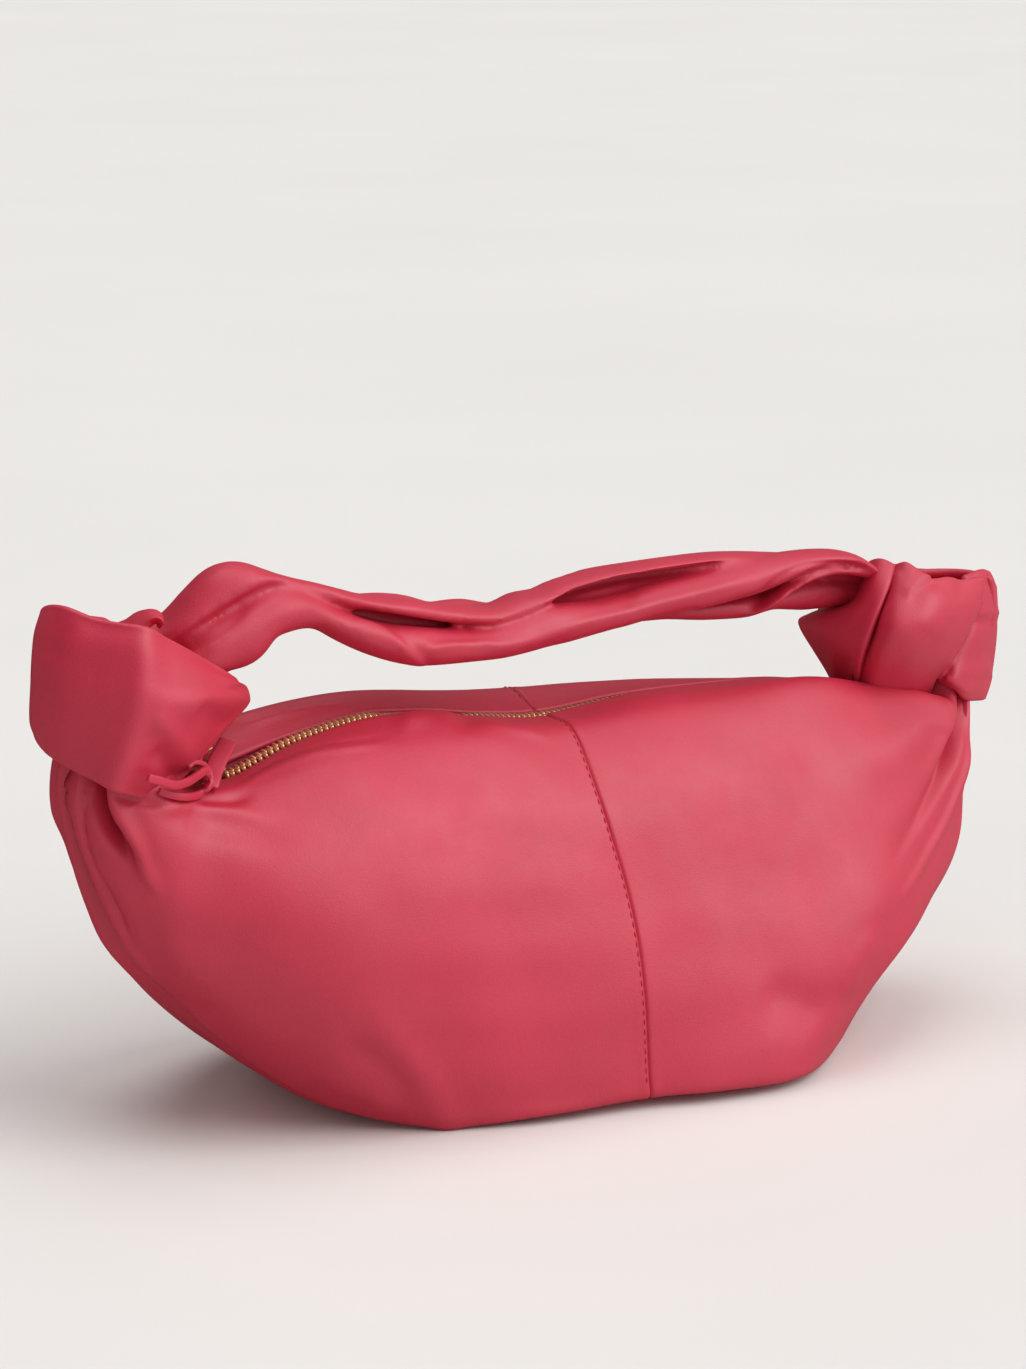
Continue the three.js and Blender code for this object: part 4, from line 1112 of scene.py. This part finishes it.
B3 = np.array([
    [(173, -5, 137), (171, 3, 137.8), (166, 10, 137.8), (156, 16, 137.8)],
    [(175, -4, 130), (174, 4, 131), (169, 13, 131), (160, 21, 131)],
    [(175, -4, 121), (174, 5, 121), (169, 14, 121), (160, 22, 121)],
    [(170, -5, 107), (169, 4, 107), (165, 12, 107), (157, 19, 107)],
], float)


def knot_core(cloud, centre, z0, sink):
    """The strap's inner turn: fills the space inside the outer turns and sinks a little in the middle of its top."""
    from_c = cloud[:, :2] - centre[:2]
    ang, rad = np.arctan2(from_c[:, 1], from_c[:, 0]), np.hypot(from_c[:, 0], from_c[:, 1])
    n, m = 96, 14
    th = np.linspace(-math.pi, math.pi, n, endpoint=False)
    near = [np.abs((ang - a + math.pi) % (2 * math.pi) - math.pi) < 0.11 for a in th]
    top = np.array([cloud[k, 2].max() for k in near]) - sink
    top = np.array([np.roll(top, k) for k in range(-6, 7)]).min(0)
    top = np.array([np.roll(top, k) for k in range(-5, 6)]).mean(0)
    r = np.zeros((n, m))
    zs = z0 + (top[:, None] - z0) * np.linspace(0, 1, m)[None]
    for i in range(n):
        rr, zz = rad[near[i]], cloud[near[i], 2]
        for j in range(m):
            k = np.abs(zz - zs[i, j]) < 3.0
            r[i, j] = rr[k].min() if k.any() else np.nan
    ok = ~np.isnan(r)
    for j in range(m):
        if ok[:, j].any():
            i = np.arange(n)
            r[:, j] = np.interp(i, np.concatenate([i[ok[:, j]] - n, i[ok[:, j]], i[ok[:, j]] + n]), np.tile(r[ok[:, j], j], 3))
    r = np.nan_to_num(r, nan=float(np.nanmean(r)))
    r = np.array([np.roll(r, k, axis=0) for k in range(-3, 4)]).mean(0)
    r[:, 1:-1] = (r[:, :-2] + 2 * r[:, 1:-1] + r[:, 2:]) / 4
    r = np.maximum(r - 0.6, 6)
    rows = [np.stack([centre[0] + r[:, j] * np.cos(th), centre[1] + r[:, j] * np.sin(th), zs[:, j]], -1) for j in range(m)]
    mean = top.mean()
    for f in (0.94, 0.82, 0.66, 0.5, 0.34, 0.2, 0.09, 0.02):
        z = top * f + mean * (1 - f) + 1.2 * math.sin(math.pi * f) - 2.2 * (1 - f) + 0.9 * np.sin(3 * th + 5 * f) * f * (1 - f) * 4
        rows.append(np.stack([centre[0] + f * r[:, -1] * np.cos(th), centre[1] + f * r[:, -1] * np.sin(th), z], -1))
    rows.insert(0, np.stack([centre[0] + 0.02 * np.cos(th), centre[1] + 0.02 * np.sin(th), np.full(n, z0)], -1))
    g = np.stack(rows, 1)
    c1 = g[:, -1].mean(0)
    verts = np.concatenate([g.reshape(-1, 3), [c1], [g[:, 0].mean(0)]])
    w = g.shape[1]
    tri = [(len(verts) - 2, i * w + w - 1, ((i + 1) % n) * w + w - 1) for i in range(n)]
    tri += [(len(verts) - 1, i * w, ((i + 1) % n) * w) for i in range(n)]
    return verts, quads(n, w, True), np.array(tri)


turns = [pad(F1, 2.6, RK_C, folds=F1_FOLDS), pad(F3, 2.6, RK_C, folds=F3_FOLDS), pad(F2, 2.0, RK_C, folds=F2_FOLDS)]
back_turns = [pad(B3, 2.6, RK_C), pad(B2, 2.6, RK_C), pad(B1, 2.6, RK_C)]
for k, (v, q, t) in enumerate(turns + back_turns):
    ob = tidy(make(f"right_knot_turn_{k + 1}_leather", v, q, LEATHER, t))
    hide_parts("right_knot_wrap")
    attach(ob, "bag")
v, q, t = knot_core(np.concatenate([v for v, q, t in turns + back_turns]), np.array([144.0, 0.0, 122.0]), 108.0, 4.5)
ob = tidy(make("right_knot_core_leather", v, q, LEATHER, t))
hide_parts("right_knot_turn")
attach(ob, "bag")

# ------------------------------------------------------------------------------------------------ handle
# each lobe of the folded strap: rows of picture x, picture y of its top and bottom, y in mm, half depth in mm
LOBES = [
    # upper lobe, rolled at its lower edge
    [(84, 668, 690, 16, 6), (102, 652, 680, 15, 6.5), (124, 636, 664, 13, 7), (150, 619, 655, 10, 8), (166, 617, 649, 6, 9), (182, 600.5, 639, 4, 9.5), (200, 579.5, 627, 3, 9.5), (220, 563, 614, 2, 9.5), (240, 561, 600, 1, 9.5),
     (260, 568, 589, 1, 9), (280, 575, 587, 0, 8.5), (300, 580, 592, 0, 8.5), (320, 584, 600, 0, 8.5), (340, 589, 606, -1, 8), (360, 594, 609, -1, 8),
     (400, 598, 614, -2, 8), (440, 604, 620, -2, 8), (480, 607, 623, -3, 8), (500, 603, 619, -3, 8), (520, 595, 612, -3, 8), (540, 590, 600, -3, 8),
     (560, 581.5, 589.5, -2, 8), (580, 575, 583, -2, 8), (600, 569, 578, -1.5, 8), (640, 562.5, 571, -1, 7.5), (700, 554, 563, -1, 7), (740, 552, 558.5, 0, 6.5), (790, 553, 561, 2, 6)],
    # lower lobe
    [(185, 660, 700, -5, 7), (215, 622, 680, -5, 8), (240, 603, 672, -5, 9), (260, 592, 646, -5, 9), (280, 588, 633, -5, 9), (300, 591, 628, -4, 9), (320, 602, 631, -4, 9),
     (340, 610, 642, -5, 9), (360, 617, 651, -6, 9), (380, 622, 658, -6, 9), (400, 625, 663, -7, 9), (420, 627, 665, -7, 9), (440, 628, 664, -7, 9), (480, 628, 660, -7, 9),
     (500, 622, 658, -7, 9), (520, 612, 654, -6, 9), (540, 604, 648, -6, 9), (560, 602.5, 643, -6, 9), (580, 601.5, 637, -6, 9), (600, 599, 631, -6, 9), (620, 594.5, 626, -6, 9), (640, 588.5, 620, -6, 9),
     (660, 583, 615, -6, 9), (700, 573, 607, -6, 9), (740, 562, 598, -6, 9), (760, 556, 591, -6, 9), (780, 552, 581, -6, 9), (800, 550, 571, -6, 8.5), (820, 549, 565, -6, 8),
     (840, 550, 563, -6, 8), (856, 555, 567, -6, 7), (880, 572, 586, -6, 7)],
    # thin layer behind the upper lobe
    [(330, 592, 606, 8, 6), (356, 594, 609, 9, 6), (380, 593, 610, 9, 6), (404, 595, 612, 9, 6), (430, 602, 617, 9, 6), (448, 600, 617, 9, 6), (465, 599, 617, 9, 6), (490, 603, 618, 9, 6),
     (502, 599, 615, 9, 6), (516, 592, 608, 9, 6), (540, 588, 602, 9, 6), (560, 581, 594, 9, 6), (590, 572.5, 585, 8, 6), (630, 566, 577, 8, 6)],
    # filler deep in the folds
    [(180, 622, 652, 5, 5), (220, 598, 630, 5, 5), (260, 582, 606, 5, 5), (300, 586, 604, 5, 5), (340, 594, 620, 5, 5), (380, 602, 632, 5, 5), (420, 610, 636, 5, 5), (460, 614, 636, 5, 5),
     (500, 608, 634, 5, 6), (540, 590, 622, 5.5, 6), (580, 574, 616, 6, 6.5), (620, 568, 608, 6, 6.5), (660, 564, 600, 4, 6.5), (690, 561, 594, 1, 7), (715, 559, 589, -2, 7), (740, 557, 585, -4, 6.5), (770, 555, 580, -4, 6), (820, 556, 578, 4, 5), (870, 562, 582, 4, 5)],
    # broad layer at the back of the strap
    [(196, 600, 640, 8, 5), (220, 575, 634, 9, 5.5), (240, 570, 624, 9, 5.5), (260, 576, 620, 9, 5.5), (280, 582, 620, 9, 5.5), (300, 587, 619, 9, 5.5), (340, 596, 633, 8, 5.5), (380, 601, 648, 8, 5.5),
     (420, 607, 655, 8, 5.5), (460, 608, 654, 8, 5.5), (500, 609, 650, 8, 5.5), (540, 597, 640, 8, 5.5), (580, 583, 630, 8, 5.5), (620, 574, 619, 8, 5.5), (660, 568, 611, 8, 5.5), (700, 562, 609, 8, 5.5),
     (740, 559, 608, 8, 5.5), (780, 559, 602, 8, 5.5), (820, 558, 600, 8, 5.5), (860, 564, 598, 8, 5)],
    # under layer at the right
    [(630, 606, 622, 4, 6), (660, 602, 619, 3, 7), (700, 598, 620, 3, 7), (740, 592, 618, 3, 7), (756, 590, 613, 3, 7), (770, 586, 610, 4, 7), (800, 574, 611, 5, 7), (830, 572, 608, 6, 7), (870, 574, 606, 7, 7)],
    # its rolled edge
    [(744, 609, 615, -1, 3), (758, 604, 612, -4, 4), (772, 593.5, 603, -6, 5), (788, 581, 592, -7, 5), (802, 573, 583, -8, 5), (818, 567, 577, -8, 5), (836, 565, 574, -8, 5), (860, 568, 577, -7, 4.5), (876, 576, 584, -6, 4)],
]
TUBES = []
for lobe in LOBES:
    x, a, b, y, d = np.array(lobe, float).T
    rise = np.gradient((a + b) / 2, x)
    TUBES.append(np.stack([x, (a + b) / 2, y, (b - a) / 2 / np.sqrt(1 + rise**2), d], -1))
HANDLE_FOLDS = [
    ("v", [(163, 650), (178, 641), (200, 627), (220, 615), (240, 602), (258, 592), (275, 586), (292, 585), (310, 592), (325, 602)], 3.5, -1.8, 0.0, 0.1),
    ("g", [(160, 643), (178, 632), (200, 618), (220, 606), (240, 594), (258, 584), (278, 578), (300, 580), (325, 590), (350, 600), (400, 611), (450, 619), (490, 621), (515, 612)], 4, 0.7, 0.05, 0.2),
    ("g", [(178, 648), (202, 641), (224, 629), (242, 615), (254, 604)], 6, -0.9, 0.0, 0.3),
    ("g", [(205, 652), (225, 640), (244, 622), (262, 604)], 6, 0.7, 0.1, 0.3),
    ("g", [(176, 604), (200, 586), (228, 567)], 2.5, 0.5, 0.2, 0.1),
    ("s", [(350, 616), (380, 625), (402, 640), (418, 656)], 7, 1.2, 0.2, 0.0),
    ("g", [(424, 654), (444, 646), (476, 643), (504, 646), (540, 638), (580, 624), (620, 614), (660, 603), (700, 593), (740, 581), (764, 571)], 4, 0.9, 0.05, 0.2),
    ("g", [(424, 640), (450, 636), (490, 640)], 7, -1.0, 0.2, 0.3),
    ("g", [(620, 600), (640, 596)], 10, -0.4, 0.3, 0.3),
    ("g", [(545, 600), (580, 588), (620, 579), (660, 573), (700, 567), (740, 560), (768, 555)], 4, -1.2, 0.15, 0.3),
    ("g", [(690, 612), (720, 606), (740, 606)], 5, 0.6, 0.2, 0.2),
    ("v", [(756, 598), (780, 578), (800, 566), (820, 563), (850, 565)], 3, -1.4, 0.1, 0.0),
]


def handle_mesh():
    v, q, t = join_meshes([roll(r, 28, 160) for r in TUBES])
    ob = make("handle_raw", v, q, None, t)
    tidy(ob)
    bpy.context.view_layer.objects.active = ob
    m = ob.modifiers.new("remesh", "REMESH")
    m.mode = "VOXEL"
    m.voxel_size = 0.00085
    m2 = ob.modifiers.new("soft", "SMOOTH")
    m2.factor = 0.5
    m2.iterations = 10
    dg = bpy.context.evaluated_depsgraph_get()
    me = bpy.data.meshes.new_from_object(ob.evaluated_get(dg))
    co = np.zeros(len(me.vertices) * 3)
    me.vertices.foreach_get("co", co)
    no = np.zeros(len(me.vertices) * 3)
    me.vertices.foreach_get("normal", no)
    faces = [tuple(p.vertices) for p in me.polygons]
    bpy.data.objects.remove(ob)
    bpy.data.meshes.remove(me)
    return co.reshape(-1, 3) / MM, no.reshape(-1, 3), faces


hv, hn, hf = handle_mesh()
hv = strokes(hv, hn, HANDLE_FOLDS)
hq = np.array([f for f in hf if len(f) == 4], int).reshape(-1, 4)
ht = np.array([f for f in hf if len(f) == 3], int).reshape(-1, 3)
for step in range(12):  # the creases settle, for longer at the left where the folds are deepest
    near, count = np.zeros_like(hv), np.zeros((len(hv), 1))
    for k in range(4):
        for other in (hq[:, (k + 1) % 4], hq[:, (k + 3) % 4]):
            np.add.at(near, hq[:, k], hv[other])
            np.add.at(count, hq[:, k], 1.0)
    w = 0.5 if step < 4 else 0.5 * np.clip((-70 - hv[:, :1]) / 8, 0, 1)
    hv = np.where(count > 0, (1 - w) * hv + w * near / np.maximum(count, 1), hv)
nq =np.cross(hv[hq[:, 2]] - hv[hq[:, 0]], hv[hq[:, 3]] - hv[hq[:, 1]])
hn = np.zeros_like(hv)
for k in range(4):
    np.add.at(hn, hq[:, k], nq)
hn /= np.maximum(np.linalg.norm(hn, axis=1, keepdims=True), 1e-9)
CUTS = [-1e9, -90, -42, 42, 84, 1e9]
cx_q = hv[hq].mean(1)[:, 0]
cx_t = hv[ht].mean(1)[:, 0] if len(ht) else np.zeros(0)
for k, name in enumerate(("handle_left_root", "handle_left_rise", "handle_middle", "handle_right_rise", "handle_right_root")):
    fq = hq[(cx_q >= CUTS[k]) & (cx_q < CUTS[k + 1])]
    ft = ht[(cx_t >= CUTS[k]) & (cx_t < CUTS[k + 1])] if len(ht) else ht
    used = np.unique(np.concatenate([fq.reshape(-1), ft.reshape(-1)]))
    new = np.full(len(hv), -1)
    new[used] = np.arange(len(used))
    ob = make(name + "_leather", hv[used], new[fq], LEATHER, new[ft] if len(ft) else None)
    ob.data.normals_split_custom_set_from_vertices([tuple(x) for x in hn[used]])
    if k == 0:
        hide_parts("handle_left_run")
        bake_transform(ob)
    elif k == 1:
        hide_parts("handle_left_run")
        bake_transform(ob)
    elif k == 2:
        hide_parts("handle_grip")
        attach(ob, "handle_grip")
    elif k == 3:
        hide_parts("handle_right_run")
        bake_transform(ob)
    else:
        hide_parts("handle_right_run")
        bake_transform(ob)

# pieces inside keep their shape and get cloth and board
BOARD = woven("fibre_board", srgb(150, 120, 96), srgb(122, 96, 76), 0.0011)
for node, mat in (("inner_pocket", LINING), ("base_board", BOARD)):
    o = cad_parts[node]
    o.data.materials.clear()
    o.data.materials.append(mat)

# ------------------------------------------------------------------------------------------------ stage and light
floor_mat = Nodes("floor")
pos = floor_mat.n("ShaderNodeTexCoord").outputs["Object"]
floor_mat.link(floor_mat.ramp(floor_mat.noise(pos, 3.0, 3.0), [(0.3, srgb(226, 224, 221)), (0.7, srgb(229, 227, 224))]), floor_mat.bsdf.inputs["Base Color"])
floor_mat.bsdf.inputs["Roughness"].default_value = 0.7
bpy.ops.mesh.primitive_plane_add(size=60)
floor = bpy.context.object
floor.name = "floor"
floor.data.materials.append(floor_mat.mat)
floor.visible_glossy = False  # its pale colour is not mirrored in the leather's shaded side

world = bpy.data.worlds.new("studio")
bpy.context.scene.world = world
world.use_nodes = True
bg = world.node_tree.nodes["Background"]
bg.inputs[0].default_value = (1.0, 0.985, 0.975, 1)
wt = world.node_tree
# the studio is brighter towards the front right than behind on the left
way = wt.nodes.new("ShaderNodeVectorMath")
way.operation = "DOT_PRODUCT"
wt.links.new(wt.nodes.new("ShaderNodeTexCoord").outputs["Generated"], way.inputs[0])
way.inputs[1].default_value = (0.62, -0.70, 0.35)
glow = wt.nodes.new("ShaderNodeMapRange")
for key, val in (("From Min", -0.5), ("From Max", 1.0), ("To Min", 0.03), ("To Max", 0.66)):
    glow.inputs[key].default_value = val
wt.links.new(way.outputs["Value"], glow.inputs["Value"])
wt.links.new(glow.outputs["Result"], bg.inputs[1])


def sun(name, toward, angle, power, color=(1, 1, 1)):
    """A broad soft light from that direction."""
    d = bpy.data.lights.new(name, "SUN")
    d.energy = power
    d.angle = math.radians(angle)
    d.color = color
    o = bpy.data.objects.new(name, d)
    o.location = Vector(toward)
    o.rotation_mode = "QUATERNION"
    o.rotation_quaternion = (-Vector(toward)).to_track_quat("-Z", "Y")
    bpy.context.scene.collection.objects.link(o)
    return o


sun("key", (0.50, -0.62, 0.70), 52, 1.85, (1.0, 0.99, 0.98))
sun("fill", (-0.85, -0.55, 0.40), 70, 0.42).visible_glossy = False
sun("top", (0.0, 0.16, 1.0), 40, 0.95)
sun("behind", (-0.35, 0.88, 0.28), 60, 0.55).visible_glossy = False
bpy.context.scene.view_settings.view_transform = "Standard"
